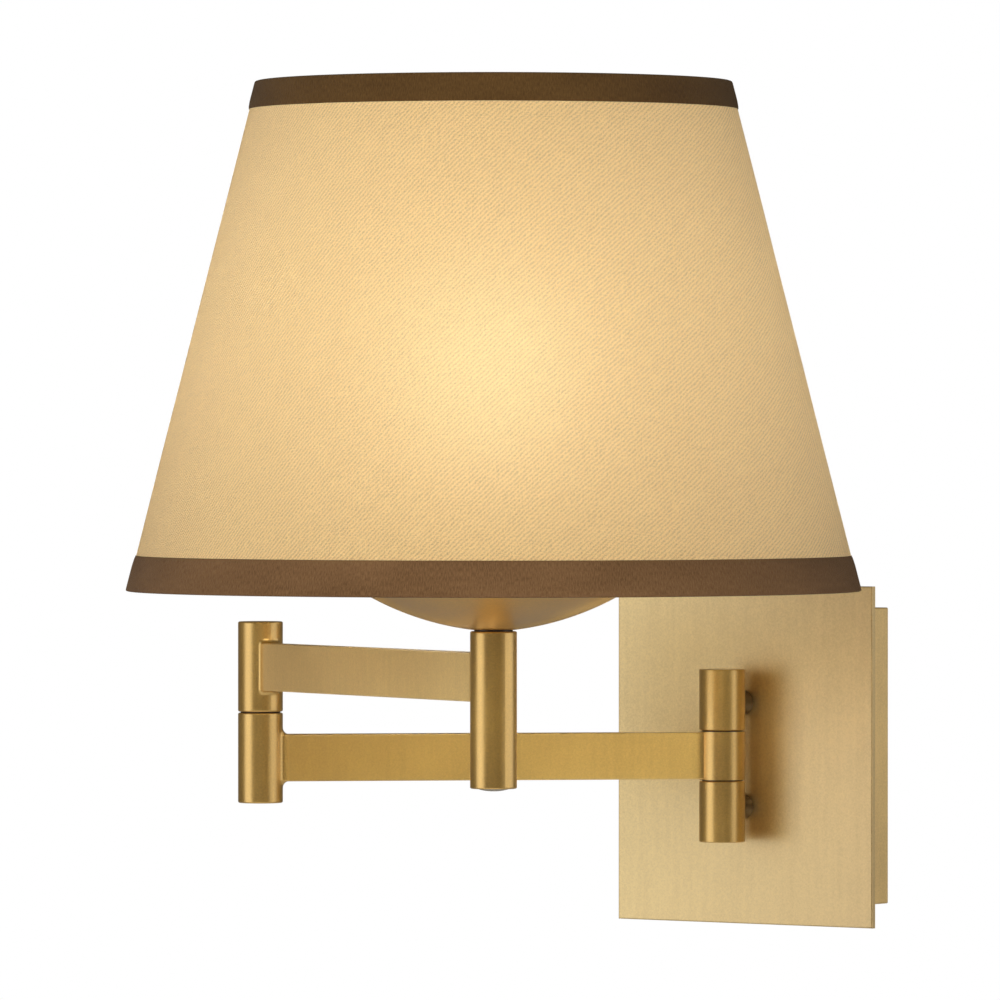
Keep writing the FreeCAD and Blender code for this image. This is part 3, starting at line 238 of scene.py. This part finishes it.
def brass(name, finish, rough, barrels=(), turned=None, painted_shading=None):
    """Lacquered brass with a fine satin grain and a slightly uneven tone.

    finish is its colour. Round the axes in barrels the metal is turned, and has that other colour. Elsewhere
    it is then blasted, rougher and less metallic. The last argument is (colour, x, x): painted light and
    shade along X, the finish going from that colour at the first x to its own at the second.
    """
    g = Graph(name)
    cloud = g.even_noise(30.0, 3.0, 0.55)
    fine = g.even_noise(1500.0, 2.0, 0.7)
    line = g.noise(g.place((500.0, 500.0, 40.0)), 2.0, 0.5)
    tone = g.share(g.weigh((cloud, 0.35), (fine, 0.50), (line, 0.15)), 0.38, 0.62)
    polish = g.spread(g.math("ADD", cloud, fine), rough - 0.04, rough + 0.05, 0.75, 1.25)
    metallic = BRASS_METALLIC
    # Painted light and shade: the colour goes from the given end colour to the finish along X.
    if painted_shading:
        colour, start, stop = painted_shading
        along = g.node("SeparateXYZ", {0: g.node("TexCoord", {}).outputs["Object"]}).outputs[0]
        finish = g.mix(g.share(along, start, stop), colour, finish)
    if barrels:
        matt = blasted_share(g, barrels)
        finish = g.mix(matt, turned, finish)
        metallic = g.math("MULTIPLY_ADD", matt, BLASTED_METALLIC, BRASS_METALLIC)
        polish = g.math("MULTIPLY_ADD", matt, BLASTED_ROUGHNESS, polish)
    shader = g.surface(
        Base_Color=g.mix(tone, g.mix(1.0, finish, DEEP_TONE, "MULTIPLY"), finish),
        Metallic=metallic,
        Roughness=polish,
        Normal=g.bump(fine, 0.00002),
        Coat_Weight=1.0,
        Coat_Roughness=0.30,
        Coat_IOR=1.9,
    )
    return g.finish(shader)


def blasted_share(g, barrels):
    """0 on the barrels and 1 on the bars."""
    place = g.node("TexCoord", {}).outputs["Object"]
    nearest = None
    for axis in barrels:
        flat = g.node("VectorMath", {0: place, 1: (1.0, 1.0, 0.0)}, operation="MULTIPLY").outputs[0]
        ends = {0: flat, 1: (axis.x, axis.y, 0.0)}
        gap = g.node("VectorMath", ends, operation="DISTANCE").outputs["Value"]
        nearest = gap if nearest is None else g.math("MINIMUM", nearest, gap)
    return g.share(nearest, TURNED_REACH, BLASTED_REACH)


def metal(name, light, dark, rough):
    """Bare or plated metal with fine scratches and a few duller patches."""
    g = Graph(name)
    patch = g.even_noise(90.0, 4.0, 0.6)
    fine = g.noise(g.place((900.0, 900.0, 2700.0)), 3.0, 0.6)
    uneven = g.math("ADD", patch, fine)
    shader = g.surface(
        Base_Color=g.mix(g.share(patch), light, dark),
        Metallic=1.0,
        Roughness=g.spread(uneven, rough - 0.06, rough + 0.08, 0.75, 1.25),
        Normal=g.bump(fine, 0.00002),
    )
    return g.finish(shader)


def moulding(name, light, dark, rough):
    """Moulded plastic, phenolic or board: nearly even colour, a faint mottle and a fine moulded skin."""
    g = Graph(name)
    mottle = g.even_noise(160.0, 3.0, 0.6)
    skin = g.even_noise(1800.0, 2.0, 0.5)
    shader = g.surface(
        Base_Color=g.mix(g.share(mottle), dark, light),
        Roughness=g.spread(skin, rough - 0.06, rough + 0.06),
        Normal=g.bump(skin, 0.00003),
    )
    return g.finish(shader)


# The twill's ridges: how many millimetres apart they are across the cloth and along it, and how many of their
# own widths they wander.
TWILL_ACROSS = 1.76
TWILL_ALONG = 1.69
TWILL_WANDER = 0.9

# How much of the light that meets the cloth goes into it, and how much of that goes nearly straight on.
CLOTH_THROUGH = 0.35
CLOTH_STRAIGHT = 0.12


def twill(g):
    """How high the cloth stands, from 0 to 1: the twill's ridges, the uneven threads and their knots."""
    place = g.flat_place()
    split = g.node("SeparateXYZ", {0: place})
    across = g.math("DIVIDE", split.outputs[0], TWILL_ACROSS)
    along = g.math("DIVIDE", split.outputs[1], TWILL_ALONG)
    drift = g.noise(g.scaled(place, (0.25, 0.25, 1.0)), 3.0, 0.6)
    phase = g.math("ADD", g.math("SUBTRACT", across, along), g.math("MULTIPLY", drift, TWILL_WANDER))
    warp = g.noise(g.scaled(place, (2.1, 0.12, 1.0)), 2.0, 0.6)
    weft = g.noise(g.scaled(place, (0.10, 2.4, 1.0)), 2.0, 0.6)
    knot = g.noise(g.scaled(place, (2.0, 2.0, 1.0)), 2.0, 0.7)
    threads = g.math("ADD", g.spread(warp, 0.0, 0.5), g.spread(weft, 0.0, 0.5))
    return g.weigh((g.wave(phase), 0.30), (threads, 0.28), (g.share(knot), 0.42))


def linen(name):
    """The shade's cloth: a twill of uneven linen threads that lets some of the lamp's light through."""
    g = Graph(name)
    height = twill(g)
    cloth = g.surface(
        Base_Color=g.mix(g.share(height, 0.16, 0.63), (0.24, 0.118, 0.029), (1.00, 0.69, 0.305)),
        Roughness=0.85,
        Normal=g.bump(height, 0.00080),
        Sheen_Weight=0.15,
        Sheen_Roughness=0.5,
        Specular_IOR_Level=0.2,
    )
    glow = g.mix(g.share(height, 0.23, 0.72), (0.97, 0.81, 0.57), (0.62, 0.52, 0.36))
    scattered = g.node("BsdfTranslucent", {"Color": glow}).outputs[0]
    ahead = {"Color": (0.95, 0.86, 0.66, 1.0), "Roughness": 0.95, "IOR": 1.45}
    straight = g.node("BsdfRefraction", ahead, distribution="GGX").outputs[0]
    through = g.node("MixShader", {0: CLOTH_STRAIGHT, 1: scattered, 2: straight}).outputs[0]
    return g.finish(g.node("MixShader", {0: CLOTH_THROUGH, 1: cloth, 2: through}).outputs[0])


def clear_from_behind(g, shader):
    """That shader on the mesh's front, and nothing at all when it is seen or lit from behind."""
    behind = g.node("NewGeometry", {}).outputs["Backfacing"]
    clear = g.node("BsdfTransparent", {}).outputs[0]
    return g.finish(g.node("MixShader", {0: behind, 1: shader, 2: clear}).outputs[0])


def lining(name):
    """The white backing inside the shade. Seen or lit from the cloth's side, it is clear."""
    g = Graph(name)
    skin = g.even_noise(350.0, 3.0, 0.5)
    paper = g.surface(
        Base_Color=g.mix(g.share(skin), (0.80, 0.77, 0.70), (0.87, 0.85, 0.80)),
        Roughness=g.spread(skin, 0.42, 0.55),
        Normal=g.bump(skin, 0.00003),
        Specular_IOR_Level=0.4,
    )
    return clear_from_behind(g, paper)


# How close the ribbon's ribs are, and how many of their own widths they wander.
RIBS_PER_MILLIMETRE = 2.6
RIB_WANDER = 0.8


def ribbon(name, dark, light):
    """A dark woven ribbon with fine ribs across it."""
    g = Graph(name)
    place = g.flat_place()
    along = g.node("SeparateXYZ", {0: place}).outputs[1]
    drift = g.noise(g.scaled(place, (0.4, 0.4, 1.0)), 2.0, 0.5)
    rib = g.wave(g.weigh((along, RIBS_PER_MILLIMETRE), (drift, RIB_WANDER)))
    yarn = g.noise(g.scaled(place, (2.6, 0.6, 1.0)), 2.0, 0.6)
    wide = g.noise(g.scaled(place, (0.02, 0.05, 1.0)), 2.0, 0.5)
    height = g.weigh((rib, 0.3), (g.share(yarn), 0.45), (g.share(wide), 0.25))
    shader = g.surface(
        Base_Color=g.mix(g.share(height, 0.15, 0.85), dark, light),
        Roughness=0.78,
        Normal=g.bump(height, 0.00030, 0.9),
        Sheen_Weight=0.04,
        Sheen_Roughness=0.45,
        Specular_IOR_Level=0.15,
    )
    return g.finish(shader)


def frosted_lamp(name, strength):
    """A lit frosted bulb, even and warm."""
    g = Graph(name)
    frost = g.even_noise(400.0, 3.0, 0.5)
    shader = g.surface(
        Base_Color=g.mix(g.share(frost), (0.86, 0.84, 0.78), (0.92, 0.90, 0.86)),
        Roughness=0.35,
        Normal=g.bump(frost, 0.00002),
        Emission_Color=(1.0, 0.90, 0.68),
        Emission_Strength=strength,
    )
    return g.finish(shader)


# ---------------------------------------------------------------- the materials of every slot


# For each: its lighter colour, its darker one, and its roughness.
METALS = {
    "bare_brass": ((0.80, 0.60, 0.27), (0.66, 0.46, 0.19), 0.28),
    "zinc_steel": ((0.70, 0.71, 0.72), (0.55, 0.56, 0.57), 0.34),
    "tinned_copper": ((0.76, 0.74, 0.70), (0.62, 0.58, 0.53), 0.30),
    "bright_aluminium": ((0.86, 0.86, 0.87), (0.76, 0.76, 0.77), 0.24),
    "silver_button": ((0.84, 0.83, 0.81), (0.74, 0.73, 0.71), 0.22),
    "earth_green_screw": ((0.10, 0.42, 0.16), (0.06, 0.30, 0.10), 0.36),
}
MOULDINGS = {
    "white_wire": ((0.80, 0.79, 0.76), (0.72, 0.71, 0.67), 0.4),
    "nylon": ((0.040, 0.034, 0.028), (0.028, 0.024, 0.020), 0.48),
    "wire_nut_plastic": ((0.70, 0.24, 0.05), (0.58, 0.18, 0.035), 0.45),
    "lead_black": ((0.030, 0.030, 0.032), (0.018, 0.018, 0.020), 0.42),
    "lead_white": ((0.78, 0.77, 0.74), (0.70, 0.69, 0.65), 0.42),
    "lead_green": ((0.05, 0.30, 0.09), (0.03, 0.22, 0.06), 0.42),
    "black_phenolic": ((0.035, 0.032, 0.030), (0.02, 0.019, 0.018), 0.32),
    "fibre_board": ((0.42, 0.33, 0.22), (0.32, 0.24, 0.15), 0.75),
}

# For each ribbon: its darker colour and its lighter one. The second is a copy painted lighter, as painted
# glow of the lamp's light behind the lower ribbon.
RIBBONS = {
    "brown_ribbon": ((0.052, 0.025, 0.0072), (0.120, 0.064, 0.020)),
    "lit_ribbon": ((0.084, 0.041, 0.016), (0.205, 0.112, 0.050)),
}

# For each even brass: its colour and its roughness. These are copies of the brass painted for how light
# falls: the darkest is painted shade on the hinge's standoffs and washers, the pan's is painted light on its
# side, and the dish's is painted shade under the shade.
EVEN_BRASSES = {
    "shaded_brass": ((0.12, 0.065, 0.018), 0.42),
    "pan_brass": ((0.98, 0.71, 0.28), 0.46),
    "dish_brass": ((0.72, 0.40, 0.055), 0.34),
}
LAMPS = {"bulb_glass": 11.0, "lit_filament": 12.0}

# The arms' turned colour and roughness, and where along X the bars' and the plate's painted light and shade
# changes.
TURNED_BRASS = (0.85, 0.54, 0.13)
ARM_ROUGHNESS = 0.33
LOWER_BAR_END = 0.0
UPPER_BAR_END = 0.03
PLATE_LEFT, PLATE_RIGHT = -0.06, 0.06


def make_arm_brass(name, finish, barrels, painted_shading, end):
    """The brass of an arm. Its bar is painted darker towards the elbow as painted shade: it goes from the
    darker colour at the elbow to its finish at the X in end.
    """
    elbow = barrels[1].x
    return brass(name, finish, ARM_ROUGHNESS, barrels, TURNED_BRASS, (painted_shading, elbow, end))


def make_materials():
    barrels = [axis_of(n) for n in ("hinge_knuckle_top", "elbow_bottom_cap", "stem_nipple")]
    made = {
        # The lower bar is painted darker towards the elbow: painted shade.
        "satin_brass": make_arm_brass(
            "satin_brass", (0.85, 0.58, 0.155), barrels, (0.46, 0.27, 0.046), LOWER_BAR_END
        ),
        # The upper arm's copy of the arm brass is painted paler, as painted light, and darker towards the
        # elbow, as painted shade.
        "painted_light_upper_bar": make_arm_brass(
            "painted_light_upper_bar", (0.88, 0.65, 0.28), barrels, (0.70, 0.46, 0.18), UPPER_BAR_END
        ),
        # The plate is painted lighter at its left and darker at its right: painted light and shade.
        "plate_brass": brass(
            "plate_brass", (0.77, 0.56, 0.235), 0.46, painted_shading=((0.98, 0.765, 0.345), PLATE_LEFT, PLATE_RIGHT)
        ),
        "linen_fabric": linen("linen_fabric"),
        "shade_liner_white": lining("shade_liner_white"),
    }
    for table, make in (
        (METALS, metal),
        (MOULDINGS, moulding),
        (RIBBONS, ribbon),
        (EVEN_BRASSES, brass),
    ):
        for name, look in table.items():
            made[name] = make(name, *look)
    for name, strength in LAMPS.items():
        made[name] = frosted_lamp(name, strength)
    MATERIALS.update(made)


# The nodes that get a copy of the brass painted lighter or darker, as painted light or painted shade, in
# place of their slot's material.
VARIANTS = {
    "upper_arm": "painted_light_upper_bar",
    "hinge_standoffs": "shaded_brass",
    "hinge_washers": "shaded_brass",
    "back_pan": "pan_brass",
    "shade_dish": "dish_brass",
}


def dress_nodes():
    """Gives every carried-over CAD node the material of its slot, or the variant that is named for it."""
    for name, node in NODES.items():
        for slot in node.material_slots:
            usual = slot.material.name.split(".")[0]
            slot.material = MATERIALS[VARIANTS.get(name, usual)]


# ---------------------------------------------------------------- the shade's cloth and ribbons


def shade_facts():
    """The shade's axis, its lower and upper edges, and the radius of its outside at each height."""
    low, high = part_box("bottom_trim")
    top_low, top_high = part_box("top_trim")
    axis = Vector(((low.x + high.x) / 2, (low.y + high.y) / 2, 0.0))
    bottom_radius = (high.x - low.x) / 2
    upper_radius = (top_high.x - top_low.x) / 2
    slope = (bottom_radius - upper_radius) / (top_low.z - low.z)
    return {
        "axis": axis,
        "bottom": low.z,
        "top": top_high.z,
        "ribbon_top": high.z,
        "ribbon_bottom": top_low.z,
        "radius": lambda level: bottom_radius - slope * (level - low.z),
        "slope": slope,
    }


# Where round the shade its seam starts, as a heading from +X. It is on the wall's side.
SEAM_TURN = math.radians(126.0)

# How many steps the cloth and the ribbons have round the shade, and how many the cloth has up its slope.
AROUND = 360
CLOTH_STEPS = 72

# How deep the linen and its backing lie below the outside of the CAD trims' cone.
LINEN_DEPTH = 0.5 * MM
BACKING_DEPTH = 1.55 * MM

# How far the cloth's edges stay inside the ribbons' folds.
EDGE_GAP = 0.0006

# The overlaps at the seam: their widths, how far they stand out, and the width of their soft edges.
CLOTH_LAP, CLOTH_LAP_HEIGHT = 11.0 * MM, 0.30 * MM
RIBBON_LAP, RIBBON_LAP_HEIGHT = 12.0 * MM, 0.38 * MM
LAP_EDGE = 0.0009

# How far the cloth and the ribbons wander in and out. Each is noise with so many waves round and up.
CLOTH_WAVE, CLOTH_WAVES = 0.10 * MM, (3.0, 22.0)
RIBBON_WAVE, RIBBON_WAVES = 0.06 * MM, (6.0, 60.0)


def strip_place(radius):
    """Where a point of a straight strip of that radius lies when the strip is laid out flat, in metres."""
    return lambda turn, distance, run: (turn * radius, run)


def cone_place(slope):
    """Where a point of the cone's cloth lies when it is cut at the seam and laid out flat, in metres."""
    lean = slope / math.hypot(1.0, slope)

    def place(turn, distance, run):
        spread = (turn - math.pi) * lean
        return (distance / lean * math.sin(spread), -distance / lean * math.cos(spread))

    return place


def lathe(name, section, materials, parts, facts, offset, flat_place):
    """Turns a closed section about the shade's axis. parts gives the material number of each of its sides.

    offset(turn, radius, level) is how far a point moves outward. flat_place(turn, radius, run) is where it
    lies on the flat cloth, in metres, for the UVs. Both turns are from the seam.
    """
    rings = len(section)
    run = [0.0]
    for (r0, z0), (r1, z1) in zip(section, section[1:] + section[:1]):
        run.append(run[-1] + math.hypot(r1 - r0, z1 - z0))
    vertices = []
    for step in range(AROUND):
        turn = SEAM_TURN + 2.0 * math.pi * step / AROUND
        for radius, level in section:
            out = radius + offset(turn - SEAM_TURN, radius, level)
            vertices.append((out * math.cos(turn), out * math.sin(turn), level))
    faces, slots, corners = [], [], []
    for step in range(AROUND):
        after = (step + 1) % AROUND
        for ring in range(rings):
            up = (ring + 1) % rings
            faces.append(
                (step * rings + ring, after * rings + ring, after * rings + up, step * rings + up)
            )
            slots.append(parts[ring])
            here = 2.0 * math.pi * step / AROUND
            there = 2.0 * math.pi * (step + 1) / AROUND
            corners += [
                flat_place(here, section[ring][0], run[ring]),
                flat_place(there, section[ring][0], run[ring]),
                flat_place(there, section[up][0], run[ring + 1]),
                flat_place(here, section[up][0], run[ring + 1]),
            ]
    mesh = bpy.data.meshes.new(name)
    mesh.from_pydata(vertices, [], faces)
    uvs = mesh.uv_layers.new(name="cloth")
    for index, corner in enumerate(corners):
        uvs.data[index].uv = corner
    for material in materials:
        mesh.materials.append(material)
    for polygon, slot in zip(mesh.polygons, slots):
        polygon.material_index = slot
        polygon.use_smooth = True
    mesh.update()
    made = bpy.data.objects.new(name, mesh)
    made.location = facts["axis"]
    bpy.context.scene.collection.objects.link(made)
    return made


def lap(turn, radius, width):
    """1 on the overlap that starts at the seam and is that wide, 0 elsewhere, with soft edges."""
    across = (turn % (2.0 * math.pi)) * radius
    rise = min(1.0, max(0.0, across / LAP_EDGE))
    fall = min(1.0, max(0.0, (width - across) / LAP_EDGE))
    return rise * fall


def wander(turn, level, size, waves):
    """A smooth uneven offset of about that size."""
    around, up = waves
    return noise.noise(Vector((math.cos(turn) * around, math.sin(turn) * around, level * up))) * size


def make_shade_cloth(facts):
    """Linen on its white backing, rolled into a cone and lapped in one seam on the wall's side."""
    radius_at = facts["radius"]
    low, high = facts["bottom"] + EDGE_GAP, facts["top"] - EDGE_GAP
    levels = [low + (high - low) * step / CLOTH_STEPS for step in range(CLOTH_STEPS + 1)]
    section = [(radius_at(level) - LINEN_DEPTH, level) for level in levels]
    section += [(radius_at(level) - BACKING_DEPTH, level) for level in reversed(levels)]
    linen_side, backing_side = 0, 1
    parts = [linen_side] * (CLOTH_STEPS + 1) + [backing_side] * CLOTH_STEPS + [linen_side]

    def offset(turn, radius, level):
        wave = wander(turn, level, CLOTH_WAVE, CLOTH_WAVES)
        return wave + lap(turn, radius, CLOTH_LAP) * CLOTH_LAP_HEIGHT

    cloth = lathe(
        "shade_cloth",
        section,
        [MATERIALS["linen_fabric"], MATERIALS["shade_liner_white"]],
        parts,
        facts,
        offset,
        cone_place(facts["slope"]),
    )
    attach(cloth, "upper_arm")
    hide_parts("shade_fabric", "shade_liner")
    return cloth


# The ribbon's sides, as depths below the same cone: its bulged front, its back against the cloth, and the two
# sides of the part that is folded inside.
RIBBON_FRONT = -0.12 * MM
RIBBON_BACK = 0.46 * MM
FOLD_FRONT = 1.62 * MM
FOLD_BACK = 2.02 * MM

# How much of the ribbon's thickness its outer end has, how high its round at the shade's edge is and how many
# steps it has, how far its back stays from that edge, and how much shorter it is inside than outside.
END_THICKNESS = 0.35
ROLL = 0.55 * MM
ROLL_STEPS = 8
BACK_CLEARANCE = 0.5 * MM
SHORTER_INSIDE = 3.0 * MM

# Points less deep than this are on the ribbon's outside.
OUTSIDE_DEPTH = 0.3 * MM


def ribbon_section(facts, edge, outer_end, up):
    """A ribbon folded over the shade's edge: up the outside, round the edge and up the inside.

    up is 1 if the ribbon goes up from the edge, and -1 if it goes down. The points are at uneven shares of
    each length.
    """
    radius_at = facts["radius"]
    length = abs(outer_end - edge)
    inner_length = abs(outer_end - SHORTER_INSIDE * up - edge)
    points = []
    for share in (0.0, 0.03, 0.10, 0.3, 0.5, 0.7, 0.9, 0.97):
        level = outer_end - (length - ROLL) * share * up
        ease = math.sin(math.pi * min(1.0, share * 4.0) / 2)
        thickness = (RIBBON_BACK - RIBBON_FRONT) * (END_THICKNESS + (1.0 - END_THICKNESS) * ease)
        points.append((radius_at(level) - RIBBON_BACK + thickness, level))
    middle = (RIBBON_FRONT + FOLD_BACK) / 2
    half = (FOLD_BACK - RIBBON_FRONT) / 2
    for step in range(1, ROLL_STEPS):
        angle = math.pi * step / ROLL_STEPS
        level = edge + ROLL * (1.0 - math.sin(angle)) * up
        points.append((radius_at(level) - middle + half * math.cos(angle), level))
    for share in (0.05, 0.3, 0.6, 0.9, 1.0):
        level = edge + inner_length * share * up
        points.append((radius_at(level) - FOLD_BACK, level))
    for share in (1.0, 0.6, 0.3, 0.08):
        level = edge + inner_length * share * up
        points.append((radius_at(level) - FOLD_FRONT, level))
    for share in (0.92, 0.6, 0.3, 0.0):
        level = outer_end - (length - BACK_CLEARANCE) * share * up
        points.append((radius_at(level) - RIBBON_BACK, level))
    return points if up < 0 else list(reversed(points))


def make_ribbon(name, node, material, facts, edge, outer_end, up):
    """The ribbon that takes a trim's place. Only its outside stands out at the lap."""
    section = ribbon_section(facts, edge, outer_end, up)

    def offset(turn, radius, level):
        wave = wander(turn, level, RIBBON_WAVE, RIBBON_WAVES)
        outside = 1.0 if radius > facts["radius"](level) - OUTSIDE_DEPTH else 0.0
        return wave + outside * lap(turn, radius, RIBBON_LAP) * RIBBON_LAP_HEIGHT

    flat = strip_place(facts["radius"](edge))
    made = lathe(name, section, [MATERIALS[material]], [0] * len(section), facts, offset, flat)
    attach(made, "upper_arm")
    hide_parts(node)
    return made


def make_shade():
    facts = shade_facts()
    cloth = make_shade_cloth(facts)
    # The lower ribbon gets the copy painted lighter, as painted glow.
    lower = make_ribbon(
        "ribbon_bottom", "bottom_trim", "lit_ribbon", facts, facts["bottom"], facts["ribbon_top"], 1
    )
    upper = make_ribbon(
        "ribbon_top", "top_trim", "brown_ribbon", facts, facts["top"], facts["ribbon_bottom"], -1
    )


# ---------------------------------------------------------------- the switch's spring


def make_return_spring():
    """The push switch's return spring, as a coil of round wire in the CAD spring's box."""
    low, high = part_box("switch_spring")
    wire, turns, steps_per_turn, sides = 0.3 * MM, 4, 32, 10
    coil = (high.x - low.x) / 2 - wire
    centre = (low + high) / 2
    foot, height = low.z + wire, high.z - low.z - 2 * wire
    steps = turns * steps_per_turn
    vertices = []
    for step in range(steps + 1):
        turn = 2.0 * math.pi * step / steps_per_turn
        level = foot + height * step / steps
        for side in range(sides):
            round_wire = 2.0 * math.pi * side / sides
            radius = coil + wire * math.cos(round_wire)
            place = (radius * math.cos(turn), radius * math.sin(turn), wire * math.sin(round_wire))
            vertices.append((centre.x + place[0], centre.y + place[1], level + place[2]))
    faces = [tuple(range(sides)), tuple(reversed(range(steps * sides, (steps + 1) * sides)))]
    for step in range(steps):
        here, there = step * sides, (step + 1) * sides
        for side in range(sides):
            after = (side + 1) % sides
            faces.append((here + side, there + side, there + after, here + after))
    mesh = bpy.data.meshes.new("return_spring")
    mesh.from_pydata(vertices, [], faces)
    mesh.validate()
    spring = bpy.data.objects.new("return_spring", mesh)
    bpy.context.scene.collection.objects.link(spring)
    mesh.materials.append(MATERIALS["zinc_steel"])
    for polygon in mesh.polygons:
        polygon.use_smooth = len(polygon.vertices) == 4
    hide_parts("switch_spring")
    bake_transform(spring)


# ---------------------------------------------------------------- floor


# How brightly the camera sees the floor shine by itself.
FLOOR_GLOW = 0.55
FLOOR_LEVEL = -0.75
FLOOR_RADIUS = 2.4
FLOOR_SIDES = 96


def make_floor():
    """A pale round floor well below the sconce. Seen from underneath it is clear.

    Most of the lights miss it, so it looks paler than it is lit, like the backdrop.
    """
    g = Graph("studio_floor")
    mottle = g.even_noise(3.0, 3.0, 0.5)
    seen = g.node("LightPath", {}).outputs["Is Camera Ray"]
    pale = g.surface(
        Base_Color=g.mix(g.share(mottle), (0.80, 0.79, 0.77), (0.84, 0.83, 0.81)),
        Roughness=0.9,
        Emission_Color=(1.0, 0.99, 0.97),
        Emission_Strength=g.math("MULTIPLY", seen, FLOOR_GLOW),
    )
    material = clear_from_behind(g, pale)
    points = [(0.0, MIDDLE.y, FLOOR_LEVEL)]
    for side in range(FLOOR_SIDES):
        turn = 2.0 * math.pi * side / FLOOR_SIDES
        x, y = FLOOR_RADIUS * math.cos(turn), FLOOR_RADIUS * math.sin(turn)
        points.append((x, y + MIDDLE.y, FLOOR_LEVEL))
    faces = [(0, 1 + side, 1 + (side + 1) % FLOOR_SIDES) for side in range(FLOOR_SIDES)]
    mesh = bpy.data.meshes.new("floor")
    mesh.from_pydata(points, [], faces)
    mesh.materials.append(material)
    floor = bpy.data.objects.new("floor", mesh)
    bpy.context.scene.collection.objects.link(floor)


# ---------------------------------------------------------------- the scene


make_camera()
make_world(seen=(1.0, 1.0, 1.0), felt=(0.15, 0.125, 0.080))
make_light("key", -32.0, 5.0, 2.0, (1.5, 2.1), 10.4)
make_light("rim", 116.0, 12.0, 2.0, (2.3, 1.6), 10.2)
make_light("fill", 25.0, 20.0, 2.4, (1.4, 1.4), 39.0, glossy=False)
make_light("low_fill", 28.0, -26.0, 2.4, (1.4, 1.4), 53.0, glossy=False)
bpy.context.scene.view_settings.view_transform = "Standard"
make_materials()
dress_nodes()
make_shade()
make_return_spring()
make_floor()
